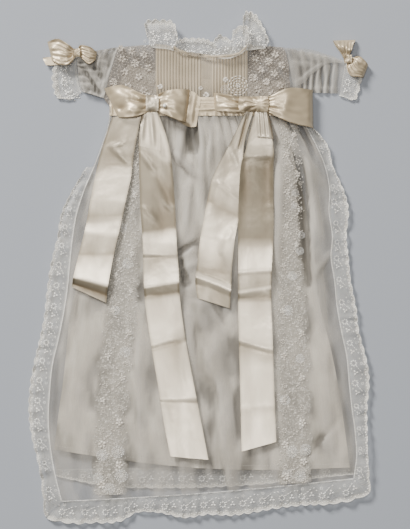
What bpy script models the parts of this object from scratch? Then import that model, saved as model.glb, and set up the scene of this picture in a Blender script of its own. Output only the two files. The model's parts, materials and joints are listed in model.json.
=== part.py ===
"""A christening gown laid flat on its back, neck towards +Y, with a sheer overgown, a silk slip inside it,
gathered lace edging and satin ribbon bows. Each piece lies on those below it. Tables are in millimetres."""

import math

import bmesh
import bpy
import numpy as np

MM = 0.001

# Driving dimensions, in millimetres
CLOTH = 1.0                # wall of a cloth piece
LACE = 1.3                 # wall of gathered lace, measured upwards through its steep waves
SEAM_GAP = 0.3             # between pieces that are sewn together or lie on each other
WAIST_Y = 236.0            # waist seam of the overgown
FRONT_LEFT = -64.0         # seams between the tucked front and the embroidered yokes
FRONT_RIGHT = 70.0
BACK_OPENING = 1.0         # between the two bodice backs
TUCK_PITCH = 4.4
TUCK_HEIGHT = 0.9
TUCKED_FROM_TO = ((-61.0, 1.0), (20.0, 67.0))
WAIST_GATHERS = 20
GATHER_HEIGHT = 1.7
GATHERED_ROWS = 3
SIDE_WAVES = 17            # ruffle waves along each side of the skirt
HEM_WAVES = 16
LACE_WAVE_HEIGHT = 5.0
BEAD_RADIUS = 3.0
HALF_WALL = 0.7            # half a sloping ribbon wall, measured upwards

# Finishes: base colour as red, green and blue, roughness, metallic
FINISHES = {
    "sheer organza": ((0.62, 0.60, 0.57), 0.60, 0.0),
    "lace net": ((0.66, 0.64, 0.60), 0.75, 0.0),
    "slip silk": ((0.74, 0.71, 0.66), 0.45, 0.0),
    "satin ribbon": ((0.70, 0.63, 0.52), 0.32, 0.0),
    "embroidery": ((0.66, 0.61, 0.53), 0.70, 0.0),
    "pearl": ((0.80, 0.76, 0.68), 0.20, 0.0),
}

# Skirt front from waist to hem: left edge x and y, right edge x and y
SKIRT_SECTIONS = (
    (-129, WAIST_Y - SEAM_GAP, 137, WAIST_Y - SEAM_GAP),
    (-131, 212, 150, 214),
    (-141, 180, 168, 182),
    (-153, 148, 182, 150),
    (-168, 112, 189, 114),
    (-178, 80, 188, 84),
    (-184, 45, 193, 46),
    (-188, 8, 191, 18),
    (-192, -32, 196, -16),
    (-198, -70, 200, -56),
    (-205, -104, 206, -90),
    (-213, -138, 214, -128),
    (-217, -176, 217, -162),
    (-219, -214, 221, -200),
    (-217, -250, 226, -238),
    (-211, -290, 228, -272),
    (-200, -337, 224, -304),
)
HEM_SAG = 4.0
BACK_HEM = (-209, -291, 228, -286)
BACK_OVERLAP = 2.0         # how far the skirt back reaches under the lace at each side

# Slip from neckline to hem: left edge x and y, right edge x and y
SLIP_SECTIONS = (
    (-104, 297, 124, 274),
    (-125, 245, 128, 248),
    (-118, 231, 125, 231),
    (-127, 172, 134, 172),
    (-144, 100, 152, 100),
    (-162, 28, 166, 12),
    (-179, -30, 168, -20),
    (-188, -66, 176, -58),
    (-193, -119, 191, -118),
    (-199, -172, 202, -175),
    (-205, -215, 211, -235),
    (-211, -262, 218, -288),
)
SLIP_HEM_SAG = 14.0
SLIP_NECK_SAG = 10.0
SLIP_BACK_INSET = 4.0

# Armholes from shoulder to underarm, and the cuffs that they lead to
ARMHOLE_LEFT = ((-118, 322), (-123, 307), (-128, 289), (-134, 267), (-138, 248))
ARMHOLE_RIGHT = ((123, 322), (127, 309), (130, 293), (131, 274), (133, 257))
CUFF_LEFT = ((-178, 313), (-179, 300), (-178, 286), (-176, 271), (-172, 258))
CUFF_RIGHT = ((209, 303), (210, 292), (208, 280), (206, 268), (204, 255))
SHOULDER_RISE = 7.0        # of a bodice back between armhole and neck
BACK_NECK_Y = 314.0

# Lower edge of the front layer of the right sleeve, which is pushed up: top x and y, lower x and y
RIGHT_CAP_SECTIONS = (
    (126.5, 321.5, 136, 263),
    (140, 321, 152, 271),
    (154, 320, 160, 280),
    (168, 317.5, 173, 290),
    (180, 313.5, 182, 297),
    (193, 309, 195, 300),
    (208, 303.5, 206, 298.5),
)

# Front neckline from left to right: x and y
NECKLINE = (
    (-64, 326), (-48, 325), (-37, 322), (-30, 317), (-21, 314), (-3, 311),
    (17, 308), (29, 308), (46, 309), (57, 312), (66, 320), (70, 326),
)
BINDING_FROM_TO = (-38.0, 68.0)
BINDING_WIDTH = 4.0

# How far the lace stands out from the skirt at each section: section, out, down
LEFT_LACE_REACH = (
    (3, -10, 0), (4, -17, 0), (5, -22, 0), (6, -22, 0), (7, -27, 0), (8, -29, 0), (9, -27, 0),
    (10, -27, 0), (11, -27, 0), (12, -29, 0), (13, -28, 0), (14, -24, 0), (15, -20, -4), (16, -24, -25),
)
RIGHT_LACE_REACH = (
    (1, 5, 0), (2, 16, 0), (3, 11, 0), (4, 20, 0), (5, 28, 0), (6, 20, 0), (7, 25, 0), (8, 23, 0),
    (9, 27, 0), (10, 25, 0), (11, 27, 0), (12, 29, 0), (13, 22, 0), (14, 17, 0), (15, 16, -2), (16, 24, -21),
)
# The same below the hem: place along the hem from 0 to 1, out, down
HEM_LACE_REACH = (
    (0.0, -24, -25.6), (0.05, -12, -33), (0.12, -3, -34), (0.21, 0, -32), (0.25, 0, -23), (0.33, 0, -24),
    (0.42, 0, -34), (0.5, 0, -32), (0.58, 0, -36), (0.67, 0, -34), (0.75, 2, -31), (0.83, 3, -31),
    (0.91, 4, -33), (0.96, 14, -30), (1.0, 24, -21.6),
)
BACK_LACE_REACH = (
    (0.0, 0, -10), (0.15, 0, -24), (0.4, 0, -29), (0.65, 0, -26), (0.85, 0, -18), (1.0, 0, -12),
)

# Lace at the neck and cuffs: seam x and y, free edge x and y
NECK_LACE_LEFT = (
    (-70, 321, -76, 336), (-64, 320, -78, 358), (-54, 319, -58, 361), (-45, 318, -38, 357),
    (-38, 316, -31, 333),
)
NECK_LACE_RIGHT = (
    (68, 316, 63, 340), (74, 317, 65, 370), (81, 318, 79, 371), (88, 319, 92, 352), (95, 319, 101, 330),
)
NECK_LACE_BACK = (
    (-36, 306, -35, 329), (-21, 304, -25, 335), (-6, 303, -5, 335), (9, 303, 9, 334), (23, 304, 23, 327),
)
NECK_LACE_FOLD = (
    (22, 305, 20, 329), (34, 304, 30, 339), (45, 305, 46, 331), (54, 308, 50, 346), (62, 312, 68, 351),
    (66, 316, 72, 330),
)
CUFF_LACE_LEFT = (
    (-178.4, 313, -193, 308), (-179.4, 300, -209, 299), (-178.4, 286, -214, 281), (-176.4, 271, -212, 262),
    (-172.4, 257.6, -206, 249), (-171, 257, -184, 247),
)
CUFF_LACE_RIGHT = (
    (209.4, 303, 226, 304), (210.4, 292, 236, 287), (208.4, 280, 233, 265), (206.4, 268, 226, 246),
    (204.4, 254.6, 210, 250), (203, 254.4, 203.4, 252),
)

# Embroidered bands down the skirt: left edge x and y, right edge x and y
LEFT_BAND_SECTIONS = (
    (-108, 209, -82, 209), (-118, 158, -84, 158), (-119, 107, -86, 107), (-130, 13, -86, 13),
    (-137, -45, -86, -45), (-146, -118, -93, -118), (-152, -190, -101, -190), (-154, -262, -104, -262),
    (-155, -328, -105, -327),
)
RIGHT_BAND_SECTIONS = (
    (96, 209, 128, 209), (105, 144, 138, 144), (110, 86, 143, 86), (110, 28, 146, 28),
    (107, -45, 157, -45), (108, -118, 162, -118), (110, -190, 163, -190), (111, -262, 163, -262),
    (112, -313, 163, -309),
)

# Ribbon tails from the knot to the cut end: left edge x and y, right edge x and y
TAIL_SECTIONS = {
    "left_bow_tail_short": (
        (-126, 219, -83, 225), (-137, 187, -91, 187), (-145, 160, -96, 158), (-152, 128, -99, 133),
        (-158, 98, -107, 96), (-165, 60, -115, 59), (-174, 24, -123, 25), (-182, -10, -131, -17),
        (-185, -26, -135, -49),
    ),
    "left_bow_tail_long": (
        (-80, 228, -60, 228), (-87, 187, -43, 173), (-86, 99, -36, 99), (-82, 39, -33, 39), (-81, -5, -30, -4),
        (-79, -45, -28, -45), (-71, -103, -20, -103), (-60, -168, -8, -168), (-52, -219, 2, -219),
        (-42, -271, 13, -276),
    ),
    "right_bow_tail_short": (
        (67, 228, 78, 228), (47, 187, 66, 187), (23, 141, 62, 151), (14, 113, 60, 113), (7, 76, 57, 75),
        (1, 44, 51, 42), (-3, 7, 47, 3), (-6, -17, 46, -22), (-3, -42, 44, -57),
    ),
    "right_bow_tail_long": (
        (80, 228, 98, 228), (67, 174, 107, 174), (60, 149, 107, 149), (57, 109, 107, 109), (56, 54, 107, 54),
        (56, -12, 104, -12), (56, -58, 104, -58), (57, -103, 106, -103), (59, -175, 108, -175),
        (61, -264, 111, -250),
    ),
}
# Pressed folds across each tail: place along it from 0 to 1, slant across, height
TAIL_FOLDS = {
    "left_bow_tail_short": ((0.25, 0.0, 2.0), (0.56, 0.03, 2.6), (0.88, 0.03, 3.2)),
    "left_bow_tail_long": ((0.12, 0.05, 2.4), (0.34, -0.02, 2.2), (0.53, -0.01, 3.2), (0.78, 0.02, 2.0)),
    "right_bow_tail_short": ((0.2, 0.02, 2.0), (0.5, 0.04, 1.8), (0.86, 0.06, 4.0)),
    "right_bow_tail_long": ((0.15, 0.0, 1.6), (0.45, 0.0, 3.6), (0.54, 0.0, 3.0), (0.76, 0.01, 1.6)),
}
TAIL_FOLD_HALF_WIDTH = 0.05

# Flat ribbon pieces of the bows, from the knot outwards: edge x and y, other edge x and y
RIBBON_END_SECTIONS = {
    "left_bow_underloop": ((-83, 228, -62, 228), (-85, 204, -57, 200), (-88, 178, -56, 170)),
    "left_bow_cut_end": ((-52, 251, -52, 228), (-30, 256, -30, 214), (-10, 257, -16, 206), (2, 247, -5, 206)),
    "right_bow_underloop": ((80, 228, 99, 228), (82, 208, 104, 207), (83, 190, 107, 188)),
}

# Bow loops from the knot to the far fold: upper edge x and y, lower edge x and y
LOOP_SECTIONS = {
    "left_bow_loop_left": (
        (-69, 248, -69, 230), (-88, 255, -85, 222), (-112, 265, -102, 219), (-138, 261, -117, 219),
    ),
    "left_bow_loop_right": (
        (-66, 248, -66, 230), (-50, 256, -50, 223), (-32, 259, -34, 216), (-14, 259, -20, 212),
    ),
    "right_bow_loop_left": (
        (66, 248, 66, 229), (54, 249, 54, 227), (38, 252, 38, 228), (21, 255, 22, 229),
    ),
    "right_bow_loop_right": (
        (90, 248, 90, 229), (104, 250, 102, 225), (130, 261, 128, 213), (164, 259, 165, 204),
    ),
}
LOOP_PUFF = 10.0
# A loop seen edge on, from the knot under it, round its far fold and back: reach from 0 to 1, rise from 0 to 1
LOOP_PROFILE = (
    (0.0, 0.0), (0.3, 0.0), (0.6, 0.0), (0.86, 0.0), (0.96, 0.1), (1.0, 0.28), (0.97, 0.46),
    (0.86, 0.66), (0.62, 0.92), (0.4, 0.8), (0.2, 0.3), (0.0, 0.18),
)

# Gathered loops of the cuff bows, laid out the same way
CUFF_LOOP_SECTIONS = {
    "left_cuff_loop_outer": (
        (-180, 317, -180, 308), (-190, 325, -190, 297), (-205, 333, -203, 297), (-221, 330, -214, 303),
    ),
    "left_cuff_loop_inner": (
        (-176, 317, -176, 310), (-172, 324, -168, 303), (-158, 321, -160, 297), (-149, 314, -151, 303),
    ),
    "right_cuff_loop_upper": (
        (210, 306, 216, 307.5), (204, 316, 220, 316), (198, 324, 223, 325), (194, 332, 227, 333),
    ),
    "right_cuff_loop_lower": (
        (221, 306, 214, 299), (231, 308, 214, 292), (238, 303, 220, 281), (245, 296, 238, 278),
    ),
}
CUFF_LOOP_PUFF = 8.0

# Small ribbon end that lies under the outer loop at the left cuff
CUFF_END_SECTIONS = ((-196, 308, -197, 297), (-212, 308, -212, 296), (-228, 307, -223, 296))

# Knots: centre x and y, width, length, height of the crown
KNOTS = {
    "left_bow_knot": (-68, 239, 17, 23, 3.0),
    "right_bow_knot": (78, 238, 40, 22, 4.0),
    "left_cuff_knot": (-178, 313, 9, 12, 2.0),
    "right_cuff_knot": (215, 304, 10, 12, 2.0),
}
BEAD_AT = (-50, 235)
# How far each of these sinks into the hollow that it covers
NESTLES_BY = {
    "left_bow_knot": 0.75, "right_bow_knot": 0.75, "left_cuff_knot": 0.95, "right_cuff_knot": 1.7,
    "pearl_bead": 1.9,
}

# Height map of what is already laid down
CELL = 2.0
MAP_HALF_WIDTH = 280.0
MAP_HALF_LENGTH = 400.0
ground = np.full((int(2 * MAP_HALF_LENGTH / CELL), int(2 * MAP_HALF_WIDTH / CELL)), -SEAM_GAP)
SMALLEST_PLAN_AREA = 0.01
layer = []


def remove_everything():
    for thing in list(bpy.data.objects):
        bpy.data.objects.remove(thing, do_unlink=True)


def start_collection(name):
    collection = bpy.data.collections.new(name)
    bpy.context.scene.collection.children.link(collection)
    return collection


def finish_material(piece_name, finish):
    colour, roughness, metallic = FINISHES[finish]
    material = bpy.data.materials.new(f"{finish} of {piece_name}")
    material.use_nodes = True
    shader = material.node_tree.nodes["Principled BSDF"]
    shader.inputs["Base Color"].default_value = (*colour, 1.0)
    shader.inputs["Roughness"].default_value = roughness
    shader.inputs["Metallic"].default_value = metallic
    material.diffuse_color = (*colour, 1.0)
    return material


def blend(start, end, share):
    return start + (end - start) * share


def loft(sections):
    """Plan of a piece: along picks a section from 0 to 1, across goes over it between its two points."""
    last = len(sections) - 1

    def place(across, along):
        position = along * last
        index = min(int(position), last - 1)
        row = [blend(a, b, position - index) for a, b in zip(sections[index], sections[index + 1])]
        return blend(row[0], row[2], across), blend(row[1], row[3], across)

    return place


def along_line(points, value):
    """Height of a line of points over the place value along X."""
    xs, ys = zip(*points)
    return float(np.interp(value, xs, ys))


def flat(across, along):
    return 0.0


def ground_under(x, y, reach):
    """Height of the highest thing already laid within reach of a point."""
    column = int((x + MAP_HALF_WIDTH) / CELL)
    row = int((y + MAP_HALF_LENGTH) / CELL)
    cells = math.ceil(reach / CELL) + 1
    window = ground[max(row - cells, 0): row + cells + 1, max(column - cells, 0): column + cells + 1]
    return float(window.max())


def covered(corners):
    """The height map round a triangle, which of its cells it covers with one to spare, and its height."""
    lowest, highest = corners.min(axis=0), corners.max(axis=0)
    first = np.floor((lowest[:2] - CELL + (MAP_HALF_WIDTH, MAP_HALF_LENGTH)) / CELL).astype(int)
    last = np.ceil((highest[:2] + CELL + (MAP_HALF_WIDTH, MAP_HALF_LENGTH)) / CELL).astype(int)
    xs, ys = np.meshgrid(
        (np.arange(first[0], last[0]) + 0.5) * CELL - MAP_HALF_WIDTH,
        (np.arange(first[1], last[1]) + 0.5) * CELL - MAP_HALF_LENGTH,
    )
    (ax, ay, az), (bx, by, bz), (cx, cy, cz) = corners
    area = (by - cy) * (ax - cx) + (cx - bx) * (ay - cy)
    weight_a = ((by - cy) * (xs - cx) + (cx - bx) * (ys - cy)) / area
    weight_b = ((cy - ay) * (xs - cx) + (ax - cx) * (ys - cy)) / area
    weight_c = 1 - weight_a - weight_b
    longest = max(math.dist(corners[i][:2], corners[i - 1][:2]) for i in range(3))
    inside = np.minimum(np.minimum(weight_a, weight_b), weight_c) > -CELL * longest / abs(area)
    height = np.clip(weight_a * az + weight_b * bz + weight_c * cz, lowest[2], highest[2])
    return ground[first[1]: last[1], first[0]: last[0]], inside, height


def plan_area(corners):
    (ax, ay, _), (bx, by, _), (cx, cy, _) = corners
    return abs((by - cy) * (ax - cx) + (cx - bx) * (ay - cy)) / 2


def corners_of(cloth, wanted=lambda point: True):
    """Corners of the triangles that can be seen in plan and whose points are all wanted."""
    triangles = [
        np.array([tuple(point.co) for point in face.verts])
        for face in cloth.faces
        if len(face.verts) == 3 and all(wanted(point) for point in face.verts)
    ]
    return [corners for corners in triangles if plan_area(corners) > SMALLEST_PLAN_AREA]


def settle(cloth, under_side, clear):
    """Lowers a whole piece until its under side is just clear of what lies below it."""
    spare = min(float((height - patch)[inside].min()) for patch, inside, height in map(covered, under_side))
    bmesh.ops.translate(cloth, vec=(0, 0, clear - spare), verts=cloth.verts)


def next_layer():
    """What was laid since the last call becomes ground for what follows."""
    for triangles in layer:
        for corners in triangles:
            patch, inside, height = covered(corners)
            patch[inside] = np.maximum(patch, height)[inside]
    layer.clear()


def add_piece(name, finish, cloth, proud=0.0):
    """Makes the object from a mesh in millimetres. Its surface stands proud of the mesh by that much."""
    layer.append([corners + (0, 0, proud) for corners in corners_of(cloth)])
    bmesh.ops.scale(cloth, vec=(MM, MM, MM), verts=cloth.verts)
    mesh = bpy.data.meshes.new(name)
    cloth.to_mesh(mesh)
    cloth.free()
    mesh.materials.append(finish_material(name, finish))
    piece = bpy.data.objects.new(name, mesh)
    gown.objects.link(piece)
    return piece


def grid_spots(cloth):
    """Place of each point of a unit grid: across from 0 to 1 and along from 0 to 1."""
    return {point: (point.co.x + 0.5, 0.5 - point.co.y) for point in cloth.verts}


def new_grid(columns, rows, split_rows=0, splits=0):
    """A grid one unit square, whose first rows are split into more columns where gathers need them."""
    cloth = bmesh.new()
    bmesh.ops.create_grid(cloth, x_segments=columns, y_segments=rows, size=0.5)
    if splits:
        lowest = 0.5 - (split_rows + 0.5) / rows
        edges = [
            edge for edge in cloth.edges
            if abs(edge.verts[0].co.y - edge.verts[1].co.y) < 1e-6 and edge.verts[0].co.y > lowest
        ]
        bmesh.ops.subdivide_edges(cloth, edges=edges, cuts=splits, use_grid_fill=True)
    bmesh.ops.triangulate(cloth, faces=cloth.faces[:])
    return cloth


def lay_sheet(name, finish, columns, rows, place, relief=flat, raised=flat, wall=CLOTH,
              split_rows=0, splits=0, seam_reach=0.0, nestles_by=0.0):
    """Lays a sheet on the ground. Relief lifts the whole wall, raised lifts its upper face alone."""
    cloth = new_grid(columns, rows, split_rows, splits)
    upper = bmesh.ops.extrude_face_region(cloth, geom=cloth.faces[:], use_keep_orig=True)
    tops = {part for part in upper["geom"] if isinstance(part, bmesh.types.BMVert)}
    spots = grid_spots(cloth)
    for point, (across, along) in spots.items():
        x, y = place(across, along)
        point.co = (x, y, 0)
    reach = max(edge.calc_length() for edge in cloth.edges)
    for point, (across, along) in spots.items():
        under = ground_under(point.co.x, point.co.y, max(reach, seam_reach * (1 - across)))
        point.co.z = under + SEAM_GAP + relief(across, along)
        if point in tops:
            point.co.z += wall + raised(across, along)
    settle(cloth, corners_of(cloth, lambda point: point not in tops), SEAM_GAP - nestles_by)
    bmesh.ops.recalc_face_normals(cloth, faces=cloth.faces[:])
    return add_piece(name, finish, cloth), reach


def lay_loop(name, finish, sections, puff, pleats):
    """A ribbon loop: it runs out from the knot, turns over at the far fold and comes back on top."""
    place = loft(sections)
    cloth = new_grid(4, len(LOOP_PROFILE) - 1)
    spots = grid_spots(cloth)
    profile = {}
    for point, (across, along) in spots.items():
        reach_out, rise = LOOP_PROFILE[round(along * (len(LOOP_PROFILE) - 1))]
        x, y = place(across, reach_out)
        point.co = (x, y, 0)
        profile[point] = (reach_out, rise, across)
    reach = max(edge.calc_length() for edge in cloth.edges)
    for point, (reach_out, rise, across) in profile.items():
        pleat = 1.2 * (1 - reach_out) * (1 + math.cos(2 * math.pi * pleats * across)) / 2
        under = ground_under(point.co.x, point.co.y, reach)
        point.co.z = under + rise * puff + pleat
    settle(cloth, corners_of(cloth), SEAM_GAP + HALF_WALL)
    bmesh.ops.recalc_face_normals(cloth, faces=cloth.faces[:])
    piece = add_piece(name, finish, cloth, proud=HALF_WALL)
    wall = piece.modifiers.new("ribbon wall", "SOLIDIFY")
    wall.thickness = CLOTH * MM
    wall.offset = 0.0
    return piece


def wave(along, waves):
    """Ruffle waves of uneven width, from 0 to 1."""
    turn = 2 * math.pi * along
    phase = waves * along + 0.22 * math.sin(2.3 * turn) + 0.12 * math.sin(5.1 * turn)
    return (1 - math.cos(2 * math.pi * phase)) / 2


def ruffle(waves, height, at_seam=0.15):
    """Relief of gathered lace, lowest at its seam and highest at its free edge."""
    def relief(across, along):
        return height * blend(at_seam, 1.0, across) * wave(along, waves)

    return relief


def lace_sections(reach_rows, seam_at):
    """Sections of a lace edging from its seam line and from how far it stands out."""
    rows = []
    for position, out, down in reach_rows:
        x, y = seam_at(position)
        rows.append((x, y, x + out, y + down))
    return rows


def hem_point(share, drop=SEAM_GAP):
    """A point of the front hem, which sags a little between its corners."""
    left_x, left_y, right_x, right_y = SKIRT_SECTIONS[-1]
    sag = HEM_SAG * math.sin(math.pi * share)
    return blend(left_x, right_x, share), blend(left_y, right_y, share) - sag - drop


def back_hem_point(share):
    left_x, left_y, right_x, right_y = BACK_HEM
    return blend(left_x, right_x, share), blend(left_y, right_y, share) - SEAM_GAP


def left_edge_point(section):
    x, y = SKIRT_SECTIONS[section][:2]
    return x - SEAM_GAP * 1.3, y


def right_edge_point(section):
    x, y = SKIRT_SECTIONS[section][2:]
    return x + SEAM_GAP * 1.3, y


def lay_backs():
    """Skirt back, bodice backs and sleeve backs rest on the floor, with the lace of the back hem and cuffs."""
    sections = [
        (left_x - BACK_OVERLAP, left_y, right_x + BACK_OVERLAP, right_y)
        for left_x, left_y, right_x, right_y in SKIRT_SECTIONS[:15]
    ]
    sections.append(BACK_HEM)
    lay_sheet("skirt_back", "sheer organza", 6, len(sections) - 1, loft(sections))

    seam_y = WAIST_Y
    left = [(x, y, -BACK_OPENING / 2, blend(BACK_NECK_Y, 248, i / 4)) for i, (x, y) in enumerate(ARMHOLE_LEFT)]
    left.append((-130, seam_y, -BACK_OPENING / 2, seam_y))
    right = [(BACK_OPENING / 2, blend(BACK_NECK_Y, 257, i / 4), x, y) for i, (x, y) in enumerate(ARMHOLE_RIGHT)]
    right.append((BACK_OPENING / 2, seam_y, 137, seam_y))
    for side, sections in (("left", left), ("right", right)):
        outline = loft(sections)

        def place(across, along, outline=outline):
            x, y = outline(across, along)
            return x, y + SHOULDER_RISE * math.sin(math.pi * across) * (1 - along) ** 2

        lay_sheet(f"bodice_back_{side}", "sheer organza", 5, len(sections) - 1, place)

    for side, armhole, cuff, outward in (
        ("left", ARMHOLE_LEFT, CUFF_LEFT, -1), ("right", ARMHOLE_RIGHT, CUFF_RIGHT, 1),
    ):
        sections = [
            (arm_x + outward * 1.3 * SEAM_GAP, arm_y, cuff_x, cuff_y)
            for (arm_x, arm_y), (cuff_x, cuff_y) in zip(armhole, cuff)
        ]

        def gathers(across, along):
            ends = min(1.0, 4 * across, 3 * (1.05 - across))
            return 2.2 * (1 - math.cos(2 * math.pi * 7 * across)) / 2 * ends

        lay_sheet(f"sleeve_back_{side}", "sheer organza", 21, len(sections) - 1, loft(sections), relief=gathers)

    for name, sections in (("cuff_lace_left", CUFF_LACE_LEFT), ("cuff_lace_right", CUFF_LACE_RIGHT)):
        lay_sheet(name, "lace net", 2, 24, loft(sections), relief=ruffle(6, 3.5), wall=LACE)
    back_lace = lace_sections(BACK_LACE_REACH, back_hem_point)
    lay_sheet("back_hem_lace", "lace net", 1, 44, loft_by_share(back_lace, BACK_LACE_REACH),
              relief=ruffle(11, 3.0), wall=LACE)
    next_layer()


def loft_by_share(sections, reach_rows):
    """A loft whose sections stand at the uneven places that their table gives."""
    shares = [row[0] for row in reach_rows]
    columns = list(zip(*sections))

    def place(across, along):
        row = [float(np.interp(along, shares, column)) for column in columns]
        return blend(row[0], row[2], across), blend(row[1], row[3], across)

    return place


def lay_slip():
    """The silk slip: a back and a front, each from neckline to hem."""
    for name, inset in (("slip_back", SLIP_BACK_INSET), ("slip_front", 0.0)):
        outline = loft([
            (left_x + inset, left_y, right_x - inset, right_y)
            for left_x, left_y, right_x, right_y in SLIP_SECTIONS
        ])

        def place(across, along, outline=outline, inset=inset):
            x, y = outline(across, along)
            sag = math.sin(math.pi * across)
            return x, y - SLIP_NECK_SAG * sag * (1 - along) ** 4 - (SLIP_HEM_SAG * sag - inset) * along ** 6

        lay_sheet(name, "slip silk", 8, len(SLIP_SECTIONS) - 1, place)
        next_layer()


def lay_neck_back():
    lay_sheet("neck_lace_back", "lace net", 2, 20, loft(NECK_LACE_BACK), relief=ruffle(5, 2.4), wall=LACE)
    next_layer()


def skirt_place(across, along):
    """Plan of the skirt front. Its hem sags a little between the corners."""
    x, y = SKIRT_OUTLINE(across, along)
    return x, y - HEM_SAG * math.sin(math.pi * across) * max(0.0, 16 * along - 15)


def skirt_relief(across, along):
    """Waist gathers that fade out, over a few broad folds that run down the skirt."""
    fade = max(0.0, 1 - along * (len(SKIRT_SECTIONS) - 1) / (GATHERED_ROWS + 0.3))
    gathers = GATHER_HEIGHT * (1 + math.cos(2 * math.pi * WAIST_GATHERS * across)) / 2 * fade
    lean = 3.1 * across + 0.45 * along + 0.1 * math.sin(5 * along)
    folds = 2.4 * (1 - math.cos(2 * math.pi * lean)) / 2 * math.sin(math.pi * across) * min(1.0, 3 * along)
    return gathers + folds


def lay_fronts():
    """Skirt front, tucked bodice front, yokes, sleeve fronts and the lace round the skirt."""
    _, reach = lay_sheet("skirt_front", "sheer organza", WAIST_GATHERS, len(SKIRT_SECTIONS) - 1, skirt_place,
                         relief=skirt_relief, split_rows=GATHERED_ROWS, splits=2)

    rows = round(3 * (FRONT_RIGHT - FRONT_LEFT - 2 * SEAM_GAP) / TUCK_PITCH)

    def front_place(across, along):
        x = blend(FRONT_LEFT + SEAM_GAP, FRONT_RIGHT - SEAM_GAP, along)
        return x, blend(WAIST_Y, along_line(NECKLINE, x), across)

    def tucks(across, along):
        x = front_place(across, along)[0]
        tucked = any(start <= x <= end for start, end in TUCKED_FROM_TO)
        return TUCK_HEIGHT if tucked and round(along * rows) % 3 == 1 else 0.0

    lay_sheet("bodice_front", "sheer organza", 2, rows, front_place, raised=tucks)

    left = [(x, y, FRONT_LEFT, blend(326, 250, i / 4)) for i, (x, y) in enumerate(ARMHOLE_LEFT)]
    left.append((-130, WAIST_Y, FRONT_LEFT, WAIST_Y))
    right = [(FRONT_RIGHT, blend(326, 257, i / 4), x, y) for i, (x, y) in enumerate(ARMHOLE_RIGHT)]
    right.append((FRONT_RIGHT, WAIST_Y, 137, WAIST_Y))
    for side, sections in (("left", left), ("right", right)):
        lay_sheet(f"yoke_{side}", "embroidery", 5, len(sections) - 1, loft(sections))

    left_front = [
        (arm_x - 1.3 * SEAM_GAP, arm_y, cuff_x + 2, cuff_y)
        for (arm_x, arm_y), (cuff_x, cuff_y) in zip(ARMHOLE_LEFT, CUFF_LEFT)
    ]

    def crease(across, along):
        """A deep crease runs from the cuff bow down to the underarm."""
        from_crease = abs(across - blend(0.95, 0.15, along))
        return 2.2 * min(1.0, from_crease / 0.2) * min(1.0, 3 * across)

    lay_sheet("sleeve_front_left", "sheer organza", 10, 8, loft(left_front), relief=crease)
    lay_sheet("sleeve_front_right", "sheer organza", 4, 12, loft(RIGHT_CAP_SECTIONS))

    left_lace = lace_sections(LEFT_LACE_REACH, left_edge_point)
    right_lace = lace_sections(RIGHT_LACE_REACH, right_edge_point)
    hem_lace = lace_sections(HEM_LACE_REACH, hem_point)
    lay_sheet("side_lace_left", "lace net", 2, 5 * (len(left_lace) - 1), loft(left_lace),
              relief=ruffle(SIDE_WAVES, LACE_WAVE_HEIGHT), wall=LACE, seam_reach=reach)
    lay_sheet("side_lace_right", "lace net", 2, 5 * (len(right_lace) - 1), loft(right_lace),
              relief=ruffle(SIDE_WAVES, LACE_WAVE_HEIGHT), wall=LACE, seam_reach=reach)
    lay_sheet("hem_lace", "lace net", 2, 72, loft_by_share(hem_lace, HEM_LACE_REACH),
              relief=ruffle(HEM_WAVES, LACE_WAVE_HEIGHT), wall=LACE, seam_reach=reach)
    next_layer()


def lay_trim():
    """Embroidered bands, neck lace, neck binding and the ribbon round the waist."""
    for name, sections in (("band_left", LEFT_BAND_SECTIONS), ("band_right", RIGHT_BAND_SECTIONS)):
        outline = loft(sections)

        def scalloped(across, along, outline=outline):
            x, y = outline(across, along)
            return x + 2.0 * (2 * across - 1) * math.cos(2 * math.pi * 12 * along), y

        lay_sheet(name, "embroidery", 3, 24, scalloped)
    for name, sections in (("neck_lace_left", NECK_LACE_LEFT), ("neck_lace_right", NECK_LACE_RIGHT)):
        lay_sheet(name, "lace net", 3, 20, loft(sections), relief=ruffle(5, 4.0), wall=LACE)
    next_layer()
    lay_sheet("neck_lace_fold", "lace net", 3, 24, loft(NECK_LACE_FOLD), relief=ruffle(4, 5.0), wall=LACE)
    sash = loft(((-130, 249, -130, 222), (137, 249, 137, 222)))
    lay_sheet("sash", "satin ribbon", 2, 18, sash)
    next_layer()

    def binding(across, along):
        x = blend(*BINDING_FROM_TO, along)
        return x, along_line(NECKLINE, x) + 1.0 - BINDING_WIDTH * across

    lay_sheet("neck_binding", "sheer organza", 1, 24, binding)
    next_layer()


def tail_relief(name):
    """Pressed folds across a ribbon, which a few years in a drawer have left in it."""
    def relief(across, along):
        height = 0.0
        for position, slant, crest in TAIL_FOLDS[name]:
            away = abs(along - position - slant * (across - 0.5)) / TAIL_FOLD_HALF_WIDTH
            height = max(height, crest * (1 - away))
        return height

    return relief


def lay_waist_bows():
    """Two bows, each with a short and a long tail, ribbon ends, two loops and a knot."""
    for kind, rows in (("short", 16), ("long", 26)):
        for side in ("left", "right"):
            name = f"{side}_bow_tail_{kind}"
            lay_sheet(name, "satin ribbon", 3, rows, loft(TAIL_SECTIONS[name]), relief=tail_relief(name))
        next_layer()
    for name, sections in RIBBON_END_SECTIONS.items():
        lay_sheet(name, "satin ribbon", 4, 6, loft(sections))
    next_layer()
    for name, sections in LOOP_SECTIONS.items():
        lay_loop(name, "satin ribbon", sections, LOOP_PUFF, 2)
    next_layer()


def lay_cuff_bows():
    lay_sheet("left_cuff_end", "satin ribbon", 2, 5, loft(CUFF_END_SECTIONS))
    next_layer()
    for name, sections in CUFF_LOOP_SECTIONS.items():
        lay_loop(name, "satin ribbon", sections, CUFF_LOOP_PUFF, 3)
    next_layer()


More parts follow.
